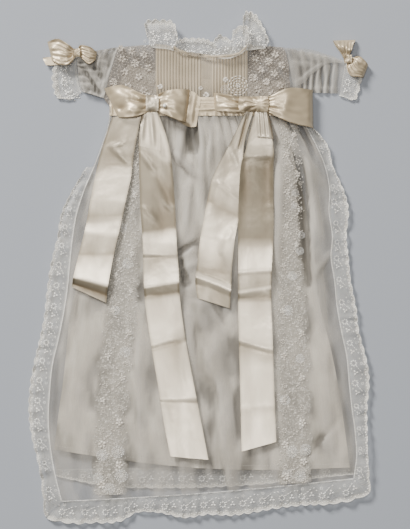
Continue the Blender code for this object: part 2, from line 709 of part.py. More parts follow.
def lay_knots():
    for name, (centre_x, centre_y, width, length, crown) in KNOTS.items():
        def place(across, along):
            swell = 1 + 0.1 * math.sin(math.pi * along)
            return centre_x + width * swell * (across - 0.5), centre_y - length * (along - 0.5)

        def dome(across, along):
            return crown * (1 - abs(2 * across - 1) ** 3) * (1 - abs(2 * along - 1) ** 3)

        lay_sheet(name, "satin ribbon", 5, 4, place, raised=dome, nestles_by=NESTLES_BY[name])
    next_layer()


def add_bead():
    """A pearl on the right loop of the left bow."""
    x, y = BEAD_AT
    centre = (x, y, ground_under(x, y, BEAD_RADIUS) + SEAM_GAP + BEAD_RADIUS - NESTLES_BY["pearl_bead"])
    ball = bmesh.new()
    bmesh.ops.create_uvsphere(ball, u_segments=10, v_segments=6, radius=BEAD_RADIUS)
    bmesh.ops.translate(ball, vec=centre, verts=ball.verts)
    bead = add_piece("pearl_bead", "pearl", ball)
    bead.data.shade_smooth()


SKIRT_OUTLINE = loft(SKIRT_SECTIONS)

remove_everything()
gown = start_collection("christening_gown")
lay_backs()
lay_slip()
lay_neck_back()
lay_fronts()
lay_trim()
lay_waist_bows()
lay_cuff_bows()
lay_knots()
add_bead()
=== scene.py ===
"""A christening gown laid out flat and seen from above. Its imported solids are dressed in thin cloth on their
forms, with gathers, creases, lace, embroidery and stitching. Tables are in millimetres, with the neck towards
+Y."""

import json
import math

import bpy
import numpy as np
from mathutils.bvhtree import BVHTree
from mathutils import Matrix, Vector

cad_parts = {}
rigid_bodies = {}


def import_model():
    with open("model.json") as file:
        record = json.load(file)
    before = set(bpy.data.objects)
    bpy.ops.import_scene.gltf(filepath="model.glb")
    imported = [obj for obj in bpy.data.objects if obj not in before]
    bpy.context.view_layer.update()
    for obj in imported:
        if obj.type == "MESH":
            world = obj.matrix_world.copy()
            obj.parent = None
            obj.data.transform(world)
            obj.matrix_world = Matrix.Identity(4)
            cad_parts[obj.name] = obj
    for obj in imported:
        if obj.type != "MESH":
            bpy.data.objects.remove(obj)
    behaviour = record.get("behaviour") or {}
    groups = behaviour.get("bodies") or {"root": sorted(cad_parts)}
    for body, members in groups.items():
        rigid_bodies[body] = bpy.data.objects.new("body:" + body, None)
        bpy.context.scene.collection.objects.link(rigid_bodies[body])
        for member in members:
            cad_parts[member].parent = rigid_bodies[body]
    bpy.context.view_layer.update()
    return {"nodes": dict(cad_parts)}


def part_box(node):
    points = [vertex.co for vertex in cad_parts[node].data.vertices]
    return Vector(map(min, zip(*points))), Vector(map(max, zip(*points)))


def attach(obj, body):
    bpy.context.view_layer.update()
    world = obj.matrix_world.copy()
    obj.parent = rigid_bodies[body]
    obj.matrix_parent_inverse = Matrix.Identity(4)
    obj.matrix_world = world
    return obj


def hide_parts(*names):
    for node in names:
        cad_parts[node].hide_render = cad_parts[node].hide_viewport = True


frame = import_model()
bpy.ops.object.select_all(action="DESELECT")

MM = 0.001
CLOTH_UV = "cloth"

# Numbers kept with each point of a cloth: how much it covers, how much painted highlight or shade satin has
# there, and how far it lies below its softened folds, which paints shade into its colour
COVER = "cover"
PAINTED_SATIN_LIGHT = "painted_satin_light"
PAINTED_SHADE_DEPTH = "painted_shade_depth"

# The mix shader's own numbers for its two colours and their mix, which share their names with other sockets
MIX_FROM = 6
MIX_TO = 7
MIX_RESULT = 2

# Driving dimensions
WAIST_Y = 236.0
SEAM_GAP = 0.3
FRONT_LEFT = -64.0
FRONT_RIGHT = 70.0
TUCK_PITCH = 4.4
TUCK_HEIGHT = 1.1
TUCK_GROUPS = ((-61.0, 1.0), (20.0, 67.0))
WAIST_GATHERS = 20
BEAD_RADIUS = 3.0
RIBBON_WALL = 0.5
LIE_GAP = 0.3
FOLD_LIFT = 2.6

# Each cloth: finish, columns and rows of its grid, blur of its solid's form down and across in points, width
# and length of its cut, how it is held, and what it rests on
PIECES = {
    "skirt_back": ("organza", 50, 60, (4, 4), (400, 560), "laid", "floor"),
    "bodice_back_left": ("organza", 30, 20, (4, 4), (135, 95), "laid", "floor"),
    "bodice_back_right": ("organza", 30, 20, (4, 4), (135, 95), "laid", "floor"),
    "sleeve_back_left": ("doubled organza", 70, 40, (3, 6), (64, 68), "gathered", "floor"),
    "sleeve_back_right": ("doubled organza", 70, 40, (3, 6), (64, 68), "gathered", "floor"),
    "cuff_lace_left": ("net", 28, 88, (2, 2.5), (28, 90), "gathered", "floor"),
    "cuff_lace_right": ("net", 28, 88, (2, 2.5), (24, 75), "gathered", "floor"),
    "back_hem_lace": ("net", 12, 240, (2, 1.5), (24, 480), "gathered", "floor"),
    "slip_back": ("silk", 66, 90, (4, 4), (370, 560), "laid", "skirt_back"),
    "slip_front": ("silk", 66, 90, (4, 4), (370, 560), "laid", "skirt_back"),
    "neck_lace_back": ("net", 28, 88, (2, 2.5), (30, 75), "gathered", "floor"),
    "neck_lace_left": ("net", 28, 88, (2, 2.5), (38, 62), "gathered", "floor"),
    "neck_lace_right": ("net", 28, 88, (2, 2.5), (46, 52), "gathered", "floor"),
    "neck_lace_fold": ("net", 28, 88, (2, 2.5), (34, 62), "gathered", "floor"),
    "skirt_front": ("organza", 150, 190, (3, 3.5), (430, 570), "gathered", "slip_front"),
    "bodice_front": ("voile", 300, 26, (2, 16), (150, 85), "laid", "slip_front"),
    "yoke_left": ("aged muslin", 40, 40, (4, 4), (72, 90), "laid", "slip_front"),
    "yoke_right": ("aged muslin", 40, 40, (4, 4), (72, 90), "laid", "slip_front"),
    "sleeve_front_left": ("doubled organza", 60, 60, (3, 3), (58, 60), "gathered", "sleeve_back_left"),
    "sleeve_front_right": ("doubled organza", 30, 70, (3, 3), (80, 34), "gathered", "sleeve_back_right"),
    "side_lace_left": ("net", 20, 340, (2.2, 1.5), (26, 560), "gathered", "floor"),
    "side_lace_right": ("net", 20, 380, (2.2, 1.5), (25, 560), "gathered", "floor"),
    "hem_lace": ("net", 20, 320, (2.2, 1.5), (34, 480), "gathered", "floor"),
    "band_left": ("muslin", 26, 220, (4, 4), (50, 545), "laid", "skirt_front"),
    "band_right": ("muslin", 26, 220, (4, 4), (50, 545), "laid", "skirt_front"),
    "sash": ("aged satin", 24, 160, (4, 2), (30, 268), "laid", "bodice_front"),
    "neck_binding": ("folded voile", 10, 160, (3, 1), (10, 120), "folded", "bodice_front"),
    "left_bow_tail_short": ("satin", 30, 140, (6, 3), (50, 265), "laid", "skirt_front"),
    "right_bow_tail_short": ("satin", 30, 140, (6, 3), (50, 265), "laid", "skirt_front"),
    "left_bow_tail_long": ("satin", 30, 220, (7, 3), (50, 500), "laid", "skirt_front"),
    "right_bow_tail_long": ("satin", 30, 220, (7, 3), (50, 500), "laid", "skirt_front"),
    "left_bow_underloop": ("satin", 28, 30, (2, 2), (30, 55), "laid", "sash"),
    "left_bow_cut_end": ("aged satin", 28, 30, (2, 2), (50, 50), "laid", "sash"),
    "right_bow_underloop": ("satin", 28, 30, (2, 2), (22, 45), "laid", "sash"),
    "left_cuff_end": ("aged satin", 16, 24, (2, 2), (12, 34), "laid", "cuff_lace_left"),
    "left_bow_knot": ("satin", 24, 30, (2, 2), (20.4, 27.6), "folded", "sash"),
    "right_bow_knot": ("aged satin", 24, 30, (2, 2), (48, 26.4), "folded", "sash"),
    "left_cuff_knot": ("aged satin", 24, 30, (2, 2), (10.8, 14.4), "folded", "sash"),
    "right_cuff_knot": ("aged satin", 24, 30, (2, 2), (12, 14.4), "folded", "sash"),
}

# Skirt front from waist to hem: left edge x and y, right edge x and y
SKIRT_SECTIONS = (
    (-129, WAIST_Y - SEAM_GAP, 137, WAIST_Y - SEAM_GAP),
    (-131, 212, 150, 214), (-141, 180, 168, 182), (-153, 148, 182, 150), (-168, 112, 189, 114),
    (-178, 80, 188, 84), (-184, 45, 193, 46), (-188, 8, 191, 18), (-192, -32, 196, -16),
    (-198, -70, 200, -56), (-205, -104, 206, -90), (-213, -138, 214, -128), (-217, -176, 217, -162),
    (-219, -214, 221, -200), (-217, -250, 226, -238), (-211, -290, 228, -272), (-200, -337, 224, -304),
)
HEM_SAG = 4.0
BACK_HEM = (-209, -291, 228, -286)
BACK_OVERLAP = 2.0

# Slip from neckline to hem: left edge x and y, right edge x and y
SLIP_SECTIONS = (
    (-104, 297, 124, 274), (-125, 245, 128, 248), (-118, 231, 125, 231), (-127, 172, 134, 172),
    (-144, 100, 152, 100), (-162, 28, 166, 12), (-179, -30, 168, -20), (-188, -66, 176, -58),
    (-193, -119, 191, -118), (-199, -172, 202, -175), (-205, -215, 211, -235), (-211, -262, 218, -288),
)
SLIP_HEM_SAG = 14.0
SLIP_NECK_SAG = 10.0
SLIP_BACK_INSET = 4.0

# Armholes from shoulder to underarm, and the cuffs that they lead to
ARMHOLE_LEFT = ((-118, 322), (-123, 307), (-128, 289), (-134, 267), (-138, 248))
ARMHOLE_RIGHT = ((123, 322), (127, 309), (130, 293), (131, 274), (133, 257))
CUFF_LEFT = ((-178, 313), (-179, 300), (-178, 286), (-176, 271), (-172, 258))
CUFF_RIGHT = ((209, 303), (210, 292), (208, 280), (206, 268), (204, 255))
SHOULDER_RISE = 7.0
BACK_NECK_Y = 314.0

# Lower edge of the front layer of the right sleeve, which is pushed up: top x and y, lower x and y
RIGHT_CAP_SECTIONS = (
    (126.5, 321.5, 136, 263), (140, 321, 152, 271), (154, 320, 160, 280), (168, 317.5, 173, 290),
    (180, 313.5, 182, 297), (193, 309, 195, 300), (208, 303.5, 206, 298.5),
)

# Front neckline from left to right: x and y
NECKLINE = (
    (-64, 326), (-48, 325), (-37, 322), (-30, 317), (-21, 314), (-3, 311), (17, 308), (29, 308),
    (46, 309), (57, 312), (66, 320), (70, 326),
)
BINDING_FROM_TO = (-38.0, 68.0)
BINDING_WIDTH = 4.0

# How far the lace stands out from the skirt at each section: section, out, down
LEFT_LACE_REACH = (
    (3, -10, 0), (4, -17, 0), (5, -22, 0), (6, -22, 0), (7, -27, 0), (8, -29, 0), (9, -27, 0),
    (10, -27, 0), (11, -27, 0), (12, -29, 0), (13, -28, 0), (14, -24, 0), (15, -20, -4), (16, -24, -25),
)
RIGHT_LACE_REACH = (
    (1, 5, 0), (2, 16, 0), (3, 11, 0), (4, 20, 0), (5, 28, 0), (6, 20, 0), (7, 25, 0), (8, 23, 0),
    (9, 27, 0), (10, 25, 0), (11, 27, 0), (12, 29, 0), (13, 22, 0), (14, 17, 0), (15, 16, -2),
    (16, 24, -21),
)
# The same below the hem: place along the hem from 0 to 1, out, down
HEM_LACE_REACH = (
    (0.0, -24, -25.6), (0.05, -12, -33), (0.12, -3, -34), (0.21, 0, -32), (0.25, 0, -23),
    (0.33, 0, -24), (0.42, 0, -34), (0.5, 0, -32), (0.58, 0, -36), (0.67, 0, -34), (0.75, 2, -31),
    (0.83, 3, -31), (0.91, 4, -33), (0.96, 14, -30), (1.0, 24, -21.6),
)
BACK_LACE_REACH = (
    (0.0, 0, -10), (0.15, 0, -24), (0.4, 0, -29), (0.65, 0, -26), (0.85, 0, -18), (1.0, 0, -12),
)

# Lace at the neck and cuffs: seam x and y, free edge x and y
SMALL_LACE_SECTIONS = {
    "neck_lace_left": (
        (-70, 321, -76, 336), (-64, 320, -78, 358), (-54, 319, -58, 361), (-45, 318, -38, 357),
        (-38, 316, -31, 333),
    ),
    "neck_lace_right": (
        (68, 316, 63, 340), (74, 317, 65, 370), (81, 318, 79, 371), (88, 319, 92, 352),
        (95, 319, 101, 330),
    ),
    "neck_lace_back": (
        (-36, 306, -35, 329), (-21, 304, -25, 335), (-6, 303, -5, 335), (9, 303, 9, 334),
        (23, 304, 23, 327),
    ),
    "neck_lace_fold": (
        (22, 305, 20, 329), (34, 304, 30, 339), (45, 305, 46, 331), (54, 308, 50, 346),
        (62, 312, 68, 351), (66, 316, 72, 330),
    ),
    "cuff_lace_left": (
        (-178.4, 313, -193, 308), (-179.4, 300, -209, 299), (-178.4, 286, -214, 281),
        (-176.4, 271, -212, 262), (-172.4, 257.6, -206, 249), (-171, 257, -184, 247),
    ),
    "cuff_lace_right": (
        (209.4, 303, 226, 304), (210.4, 292, 236, 287), (208.4, 280, 233, 265), (206.4, 268, 226, 246),
        (204.4, 254.6, 210, 250), (203, 254.4, 203.4, 252),
    ),
}

# Embroidered bands down the skirt: left edge x and y, right edge x and y
BAND_SECTIONS = {
    "band_left": (
        (-108, 209, -82, 209), (-118, 158, -84, 158), (-119, 107, -86, 107), (-130, 13, -86, 13),
        (-137, -45, -86, -45), (-146, -118, -93, -118), (-152, -190, -101, -190),
        (-154, -262, -104, -262), (-155, -328, -105, -327),
    ),
    "band_right": (
        (96, 209, 128, 209), (105, 144, 138, 144), (110, 86, 143, 86), (110, 28, 146, 28),
        (107, -45, 157, -45), (108, -118, 162, -118), (110, -190, 163, -190), (111, -262, 163, -262),
        (112, -313, 163, -309),
    ),
}
# How far the work of each band is shifted over its width at the top, fading to none halfway down
BAND_SHIFT = {"band_left": 0.0, "band_right": 0.55}

# Larger flowers of the bands, worked in a whiter thread: x, y, size
BAND_ROSES = (
    (-141, -270, 0.5), (-118, -265, 0.55), (-147, -303, 0.45), (-113, -300, 0.55), (-131, -319, 0.5),
    (134, -265, 0.5), (154, -262, 0.5), (127, -297, 0.45), (146, -300, 0.5), (-112, 60, 0.4),
    (-104, 8, 0.45), (-122, -60, 0.4), (-108, -120, 0.45), (139, 110, 0.32), (137, 92, 0.28),
    (148, 49, 0.32), (146, 26, 0.34), (135, -10, 0.4), (128, -60, 0.45), (146, -130, 0.4),
    (124, -190, 0.45),
)

# Flowers worked on the tucked front: x, y, size, turn
SPRAY_ROSES = ((56, 266, 0.9, 0.3), (78, 276, 0.42, 0.1), (37, 260, 0.4, 0.6))
SPRAY_FLOWERS = (
    (38, 274, 9, 0.8), (10, 252, 10, 0.5), (-57, 264, 9, 1.2), (-75, 252, 9, 0.2), (2, 262, 7, 2.2),
)

# Ribbon tails from the knot to the cut end: left edge x and y, right edge x and y
TAIL_SECTIONS = {
    "left_bow_tail_short": (
        (-126, 219, -83, 225), (-137, 187, -91, 187), (-145, 160, -96, 158), (-152, 128, -99, 133),
        (-158, 98, -107, 96), (-165, 60, -115, 59), (-174, 24, -123, 25), (-182, -10, -131, -17),
        (-185, -26, -135, -49),
    ),
    "right_bow_tail_short": (
        (67, 228, 78, 228), (47, 187, 66, 187), (23, 141, 62, 151), (14, 113, 60, 113), (7, 76, 57, 75),
        (1, 44, 51, 42), (-3, 7, 47, 3), (-6, -17, 46, -22), (-3, -42, 44, -57),
    ),
    "left_bow_tail_long": (
        (-80, 228, -60, 228), (-87, 187, -43, 173), (-86, 99, -36, 99), (-82, 39, -33, 39),
        (-81, -5, -30, -4), (-79, -45, -28, -45), (-71, -103, -20, -103), (-60, -168, -8, -168),
        (-52, -219, 2, -219), (-42, -271, 13, -276),
    ),
    "right_bow_tail_long": (
        (80, 228, 98, 228), (67, 174, 107, 174), (60, 149, 107, 149), (57, 109, 107, 109),
        (56, 54, 107, 54), (56, -12, 104, -12), (56, -58, 104, -58), (57, -103, 106, -103),
        (59, -175, 108, -175), (61, -264, 111, -250),
    ),
}
# Each tail's folds, pressed by years folded in a drawer, and the light painted on it: place along at the left
# edge, at the right edge, height, and the painted highlight or shade of its satin there
TAIL_FOLDS = {
    "left_bow_tail_short": (
        (0.0, 0.0, 1.4, 0.3), (0.12, 0.12, 1.1, 0.25), (0.17, 0.17, 0.9, 0.3), (0.22, 0.23, 0.5, 0.2),
        (0.28, 0.28, 0.2, 0.3), (0.38, 0.37, 0.7, 0.8), (0.5, 0.49, 0.8, 0.65), (0.57, 0.56, 0.3, 0.4),
        (0.6, 0.59, 0.5, 0.6), (0.645, 0.66, 1.3, 1.0), (0.66, 0.68, 1.3, 0.55), (0.74, 0.74, 1.2, 0.5),
        (0.76, 0.76, 1.0, 0.55), (0.83, 0.83, 1.6, 0.85), (0.885, 0.9, 2.4, 1.0),
        (0.9, 0.915, 2.1, 0.15), (0.955, 0.955, 0.6, 0.15), (1.0, 1.0, 0.7, 0.35),
    ),
    "right_bow_tail_short": (
        (0.0, 0.0, 1.2, 0.35), (0.15, 0.15, 1.2, 0.4), (0.3, 0.36, 1.3, 0.5), (0.42, 0.5, 0.5, 0.3),
        (0.5, 0.56, 0.9, 0.75), (0.62, 0.62, 1.5, 0.85), (0.76, 0.8, 0.6, 0.35),
        (0.79, 0.88, 0.5, 0.35), (0.81, 0.895, 0.8, 0.9), (0.84, 0.91, 1.5, 1.0),
        (0.855, 0.92, 1.3, 0.35), (0.9, 0.94, 0.7, 0.3), (1.0, 1.0, 0.6, 0.3),
    ),
    "left_bow_tail_long": (
        (0.0, 0.0, 1.5, 0.3), (0.07, 0.07, 1.7, 0.55), (0.12, 0.14, 1.8, 0.5), (0.13, 0.15, 1.4, 0.2),
        (0.2, 0.2, 0.8, 0.1), (0.3, 0.29, 0.1, 0.15), (0.311, 0.3, 0.2, 0.6), (0.335, 0.335, 0.7, 0.95),
        (0.377, 0.377, 0.9, 0.6), (0.387, 0.387, 0.5, 0.6), (0.507, 0.485, 1.4, 0.75),
        (0.514, 0.492, 1.2, 0.2), (0.545, 0.53, 0.1, 0.2), (0.56, 0.545, 0.2, 0.85),
        (0.65, 0.63, 1.3, 0.9), (0.682, 0.659, 1.2, 0.6), (0.69, 0.667, 0.7, 0.6),
        (0.698, 0.675, 0.9, 0.8), (0.82, 0.82, 1.6, 0.85), (0.83, 0.83, 1.1, 0.8),
        (1.0, 1.0, 1.9, 0.95),
    ),
    "right_bow_tail_long": (
        (0.0, 0.0, 1.8, 0.35), (0.1, 0.1, 2.0, 0.4), (0.15, 0.16, 1.7, 0.2), (0.24, 0.24, 1.1, 0.0),
        (0.46, 0.46, 0.0, 0.05), (0.48, 0.48, 0.1, 0.5), (0.54, 0.535, 1.4, 1.0),
        (0.55, 0.543, 0.9, 0.35), (0.595, 0.577, 0.6, 0.3), (0.603, 0.585, 0.8, 0.7),
        (0.612, 0.594, 0.7, 0.35), (0.63, 0.628, 0.1, 0.2), (0.645, 0.643, 0.2, 0.85),
        (0.76, 0.77, 1.1, 0.85), (0.778, 0.8, 1.2, 0.6), (0.79, 0.812, 0.7, 0.4),
        (0.84, 0.84, 1.0, 0.8), (0.92, 0.92, 1.5, 0.75), (0.93, 0.93, 1.2, 0.55),
        (0.95, 0.95, 1.2, 0.85), (1.0, 1.0, 1.5, 0.9),
    ),
}

# Flat ribbon pieces of the bows, from the knot outwards: edge x and y, other edge x and y
RIBBON_END_SECTIONS = {
    "left_bow_underloop": ((-83, 228, -62, 228), (-85, 204, -57, 200), (-88, 178, -56, 170)),
    "left_bow_cut_end": ((-52, 251, -52, 228), (-30, 256, -30, 214), (-10, 257, -16, 206), (2, 247, -5, 206)),
    "right_bow_underloop": ((80, 228, 99, 228), (82, 208, 104, 207), (83, 190, 107, 188)),
    "left_cuff_end": ((-196, 308, -197, 297), (-212, 308, -212, 296), (-228, 307, -223, 296)),
}

# Bow loops from the knot to the far fold: upper edge x and y, lower edge x and y
LOOP_SECTIONS = {
    "left_bow_loop_left": (
        (-69, 248, -69, 230), (-88, 255, -85, 222), (-112, 265, -102, 219), (-138, 261, -117, 219),
    ),
    "left_bow_loop_right": (
        (-66, 248, -66, 230), (-50, 256, -50, 223), (-32, 259, -34, 216), (-14, 259, -20, 212),
    ),
    "right_bow_loop_left": (
        (66, 248, 66, 229), (54, 249, 54, 227), (38, 252, 38, 228), (21, 255, 22, 229),
    ),
    "right_bow_loop_right": (
        (90, 248, 90, 229), (104, 250, 102, 225), (130, 261, 128, 213), (164, 259, 165, 204),
    ),
    "left_cuff_loop_outer": (
        (-180, 317, -180, 308), (-190, 325, -190, 297), (-205, 333, -203, 297), (-221, 330, -214, 303),
    ),
    "left_cuff_loop_inner": (
        (-176, 317, -176, 310), (-172, 324, -168, 303), (-158, 321, -160, 297), (-149, 314, -151, 303),
    ),
    "right_cuff_loop_upper": (
        (210, 306, 216, 307.5), (204, 316, 220, 316), (198, 324, 223, 325), (194, 332, 227, 333),
    ),
    "right_cuff_loop_lower": (
        (221, 306, 214, 299), (231, 308, 214, 292), (238, 303, 220, 281), (245, 296, 238, 278),
    ),
}
# A loop seen edge on, from the knot under it, round its far fold and back: reach from 0 to 1, share on top
LOOP_PROFILE = (
    (0.0, 0.0), (0.3, 0.0), (0.6, 0.0), (0.86, 0.0), (0.965, 0.1), (1.0, 0.4), (0.965, 0.8),
    (0.86, 1.0), (0.62, 1.0), (0.4, 1.0), (0.2, 1.0), (0.0, 1.0),
)
# Pleats that run out from the knot in the waist loops: how many, how deep, how soon they fade. Cuff loops are
# pleated to their ends
LOOP_PLEATS = {
    "left_bow_loop_left": (3.5, 1.6, 1.1),
    "left_bow_loop_right": (3.0, 1.4, 1.2),
    "right_bow_loop_left": (4.0, 1.6, 0.7),
    "right_bow_loop_right": (5.0, 2.2, 1.5),
}
CUFF_LOOP_PLEATS = (5, 1.5, 0.25)

# Knots: centre x and y, width, length, crown, wraps that cross it
KNOTS = {
    "left_bow_knot": (-68, 239, 17, 23, 3.0, 2),
    "right_bow_knot": (78, 238, 40, 22, 4.0, 4),
    "left_cuff_knot": (-178, 313, 9, 12, 2.0, 2),
    "right_cuff_knot": (215, 304, 10, 12, 2.0, 2),
}

# Creases in each piece: from x and y, to x and y, height, width of the side on its left, width on its right
CREASES = {
    "skirt_front": (
        (-14, -43, 15, -54, 2.0, 2.5, 5), (12, -52, 37, -86, 2.0, 2.5, 5),
        (36, -80, 40, -124, 1.8, 2.5, 5), (192, 26, 166, -14, 2.6, 2, 6),
        (167, -10, 183, -90, 2.6, 2.5, 6), (118, 180, 112, -16, 3.6, 8, 8),
        (205, -215, 132, -300, -2.4, 2.5, 5), (-40, 170, -5, 134, 5.0, 6, 3),
        (-12, 130, -19, 47, 4.6, 3, 8), (-13, 220, -8, 166, -6.5, 9, 8),
        (-28, 16, -17, -26, -6.0, 5, 5), (12, 200, 6, 120, -2.6, 4, 5),
        (149, 168, 160, -28, -6.0, 5, 6), (8, 226, 4, 60, 3.2, 4, 6), (20, 226, 12, 130, 3.5, 3, 5),
        (-18, 228, -30, 150, 4.2, 4, 6), (-34, 22, 0, 42, -4.5, 4, 5), (-30, -4, 4, 12, 2.6, 6, 4),
        (112, 224, 176, 120, 2.9, 5, 9), (150, 190, 178, 40, 2.6, 4, 8),
        (172, 30, 189, -150, 2.4, 4, 10), (182, -120, 196, -280, 2.2, 5, 9),
        (-128, 200, -170, 60, 2.2, 6, 4), (-172, 40, -206, -180, 2.2, 7, 4),
        (20, -60, 44, -300, 2.6, 9, 6), (-18, -60, -6, -180, 2.9, 6, 10),
        (60, -270, 170, -230, -1.6, 9, 12), (-90, -40, -78, -320, 2.2, 8, 6),
        (28, -90, 50, -240, 2.2, 5, 12), (168, -200, 120, -300, 1.6, 6, 12),
        (0, -100, 26, -300, -1.9, 8, 8), (94, 140, 100, -60, 2.6, 5, 7),
    ),
    "slip_front": (
        (-13, 220, -8, 166, -6.5, 10, 9), (-28, 16, -17, -26, -6.0, 6, 6), (-34, 22, 0, 42, -4.5, 6, 6),
        (149, 168, 160, -28, -5.0, 5, 6), (2, 200, 2, 120, -3.0, 5, 6),
        (-173, -30, -199, -262, 4.0, 12, 8), (-137, -130, -141, -200, -3.5, 7, 7),
        (-84, -40, -96, -200, 4.5, 9, 12), (-4, -95, 33, -178, 4.5, 7, 10),
        (118, 178, 112, -14, 4.0, 9, 9), (159, 70, 157, -30, -3.5, 6, 7),
        (142, -160, 140, -236, -3.5, 7, 8), (205, -215, 132, -300, -2.6, 3, 6),
        (36, -205, 38, -285, 2.4, 9, 9), (122, -150, 120, -260, 2.6, 8, 10),
        (-150, 60, -180, -230, 1.6, 14, 10), (160, -10, 190, -260, 1.8, 12, 12),
        (-20, 140, -6, -250, 1.4, 20, 16), (30, 100, 80, -260, -1.2, 16, 22),
    ),
    "left_bow_loop_left": (
        (-117, 229, -91, 251, -3.0, 3.5, 4.5), (-112, 224, -80, 238, 2.4, 3, 4.5),
        (-106, 262, -78, 247, 2.0, 3, 4), (-97, 252, -78, 243, 2.2, 2, 3),
        (-92, 226, -76, 236, 1.6, 2, 3), (-135, 258, -104, 246, 1.2, 6, 9),
        (-102, 243, -84, 240, -1.6, 2, 2),
    ),
    "left_bow_loop_right": (
        (-62, 244, -18, 246, 1.6, 3, 6), (-62, 240, -20, 232, 1.8, 2.5, 7),
        (-60, 234, -34, 220, 1.4, 2, 4), (-60, 248, -36, 256, 1.2, 3, 3),
        (-16, 258, -21, 214, 1.4, 2.5, 5),
    ),
    "right_bow_loop_left": (
        (25, 251, 60, 238, -2.2, 2, 3), (62, 244, 36, 250, 1.6, 3, 4), (62, 234, 30, 234, 1.6, 3, 4),
        (24, 252, 25, 230, 1.6, 3, 3),
    ),
    "right_bow_loop_right": (
        (132, 256, 115, 216, 3.2, 4, 5.5), (96, 245, 130, 259, 2.0, 2.5, 3.5),
        (94, 241, 118, 245, 1.6, 2, 2.5), (94, 237, 116, 235, 1.7, 2, 2.5),
        (94, 233, 112, 224, 1.6, 2, 2.5), (100, 229, 140, 214, 1.2, 3, 3),
        (158, 256, 160, 208, 1.2, 4, 8),
    ),
    "sleeve_front_left": (
        (-176, 300, -143, 251, -2.6, 4, 6), (-168, 306, -140, 262, 2.0, 4, 5),
        (-172, 290, -152, 258, 1.8, 3, 5), (-160, 312, -130, 296, 1.2, 5, 4),
        (-150, 305, -128, 280, 1.4, 5, 5),
    ),
    "sleeve_front_right": (
        (140, 312, 200, 302, 1.2, 5, 4), (134, 300, 170, 296, 1.2, 4, 4),
        (150, 280, 182, 300, 1.6, 3, 4), (138, 268, 160, 284, 1.6, 3, 4),
    ),
    "sleeve_back_right": (
        (150, 262, 200, 262, 1.0, 4, 4),
    ),
    "sash": (
        (-130, 242, 137, 241, 1.4, 2.5, 2.5), (-130, 231, 137, 232, 1.6, 3, 2),
        (-20, 226, 60, 240, 1.2, 3, 4),
    ),
    "left_bow_underloop": ((-80, 226, -84, 182, 1.2, 3, 3), (-70, 226, -66, 176, 1.4, 3, 4)),
    "right_bow_underloop": (
        (85, 228, 87, 190, 1.8, 1.6, 2.4), (91, 228, 94, 190, 1.8, 1.6, 2.4),
        (97, 228, 101, 190, 1.4, 1.6, 2.4), (83, 192, 107, 190, 1.6, 1.5, 1.5),
    ),
    "left_bow_cut_end": ((-6, 254, -12, 210, 1.4, 2, 5), (-50, 244, -6, 236, 1.2, 3, 5)),
    "left_bow_tail_short": ((-132, 180, -100, 150, 1.2, 5, 3), (-108, 182, -128, 176, 1.4, 2.5, 2.5)),
    "left_bow_tail_long": (
        (-86, 171, -60, 138, 1.8, 2.5, 5), (-55, 99, -37, 85, 1.4, 2.5, 4),
        (-83, 92, -60, 70, 1.3, 2.5, 5), (-68, 150, -38, 90, -1.0, 6, 6),
    ),
    "right_bow_tail_short": (
        (24, 128, 58, 100, 1.2, 3, 6), (71, 228, 57, 172, -2.6, 2, 2), (48, 60, 30, 20, 1.2, 5, 6),
        (40, 186, 56, 150, 1.4, 3, 4),
    ),
    "right_bow_tail_long": ((102, 178, 101, 92, -1.5, 10, 9), (58, -103, 106, -118, 0.8, 2, 5)),
}

# Lamps: name, place in metres, width of the panel in metres, power in watts
LIGHTS = (
    ("window_side", (-2.6, 3.7, 2.9), 1.4, 560.0),
    ("overhead_panel", (-0.3, 1.25, 5.0), 0.9, 100.0),
    ("lower_panel", (0.3, -0.9, 5.0), 0.9, 58.0),
)

# The camera sees this width of the surface, about this point of it, from this height, all in metres
FRAME_WIDTH = 0.5945
FRAME_CENTRE = (0.0080, 0.0065)
CAMERA_HEIGHT = 2.6


def line_through(places, values):
    """A smooth line through values, each at its place."""
    places, values = np.asarray(places, float), np.asarray(values, float)
    slopes = np.gradient(values, places)

    def height(at):
        at = np.clip(at, places[0], places[-1])
        left = np.clip(np.searchsorted(places, at, side="right") - 1, 0, len(places) - 2)
        span = places[left + 1] - places[left]
        part = (at - places[left]) / span
        rise = (values[left + 1] - values[left]) * part * part * (3 - 2 * part)
        lean = slopes[left] * part * (1 - part) ** 2 - slopes[left + 1] * part * part * (1 - part)
        return values[left] + rise + span * lean

    return height


def loft(sections, shares=None):
    """Plan of a piece: across runs from each section's first point to its second, and along from section to
    section."""
    if shares is None:
        shares = np.linspace(0, 1, len(sections))
    left_x, left_y, right_x, right_y = (line_through(shares, column) for column in zip(*sections))

    def place(across, along):
        x = left_x(along) * (1 - across) + right_x(along) * across
        y = left_y(along) * (1 - across) + right_y(along) * across
        return x, y

    return place


# Heights of the cloth laid so far, on a map with cells of this size that reaches so far from the middle
CELL = 1.0
MAP_HALF_WIDTH, MAP_HALF_LENGTH = 280.0, 400.0
ground = np.zeros((int(2 * MAP_HALF_LENGTH / CELL) + 1, int(2 * MAP_HALF_WIDTH / CELL) + 1))


def ground_at(x, y):
    """Height of what is laid under a place."""
    column = np.clip((x + MAP_HALF_WIDTH) / CELL, 0, ground.shape[1] - 1.01)
    row = np.clip((y + MAP_HALF_LENGTH) / CELL, 0, ground.shape[0] - 1.01)
    left, low = column.astype(int), row.astype(int)
    right_share, high_share = column - left, row - low
    lower = ground[low, left] * (1 - right_share) + ground[low, left + 1] * right_share
    upper = ground[low + 1, left] * (1 - right_share) + ground[low + 1, left + 1] * right_share
    return lower * (1 - high_share) + upper * high_share


def finer(rows, times):
    """The rows of a grid with straight in-between rows."""
    at = np.linspace(0, len(rows) - 1, (len(rows) - 1) * times + 1)
    low = np.minimum(at.astype(int), len(rows) - 2)
    share = (at - low)[:, None]
    return rows[low] * (1 - share) + rows[low + 1] * share


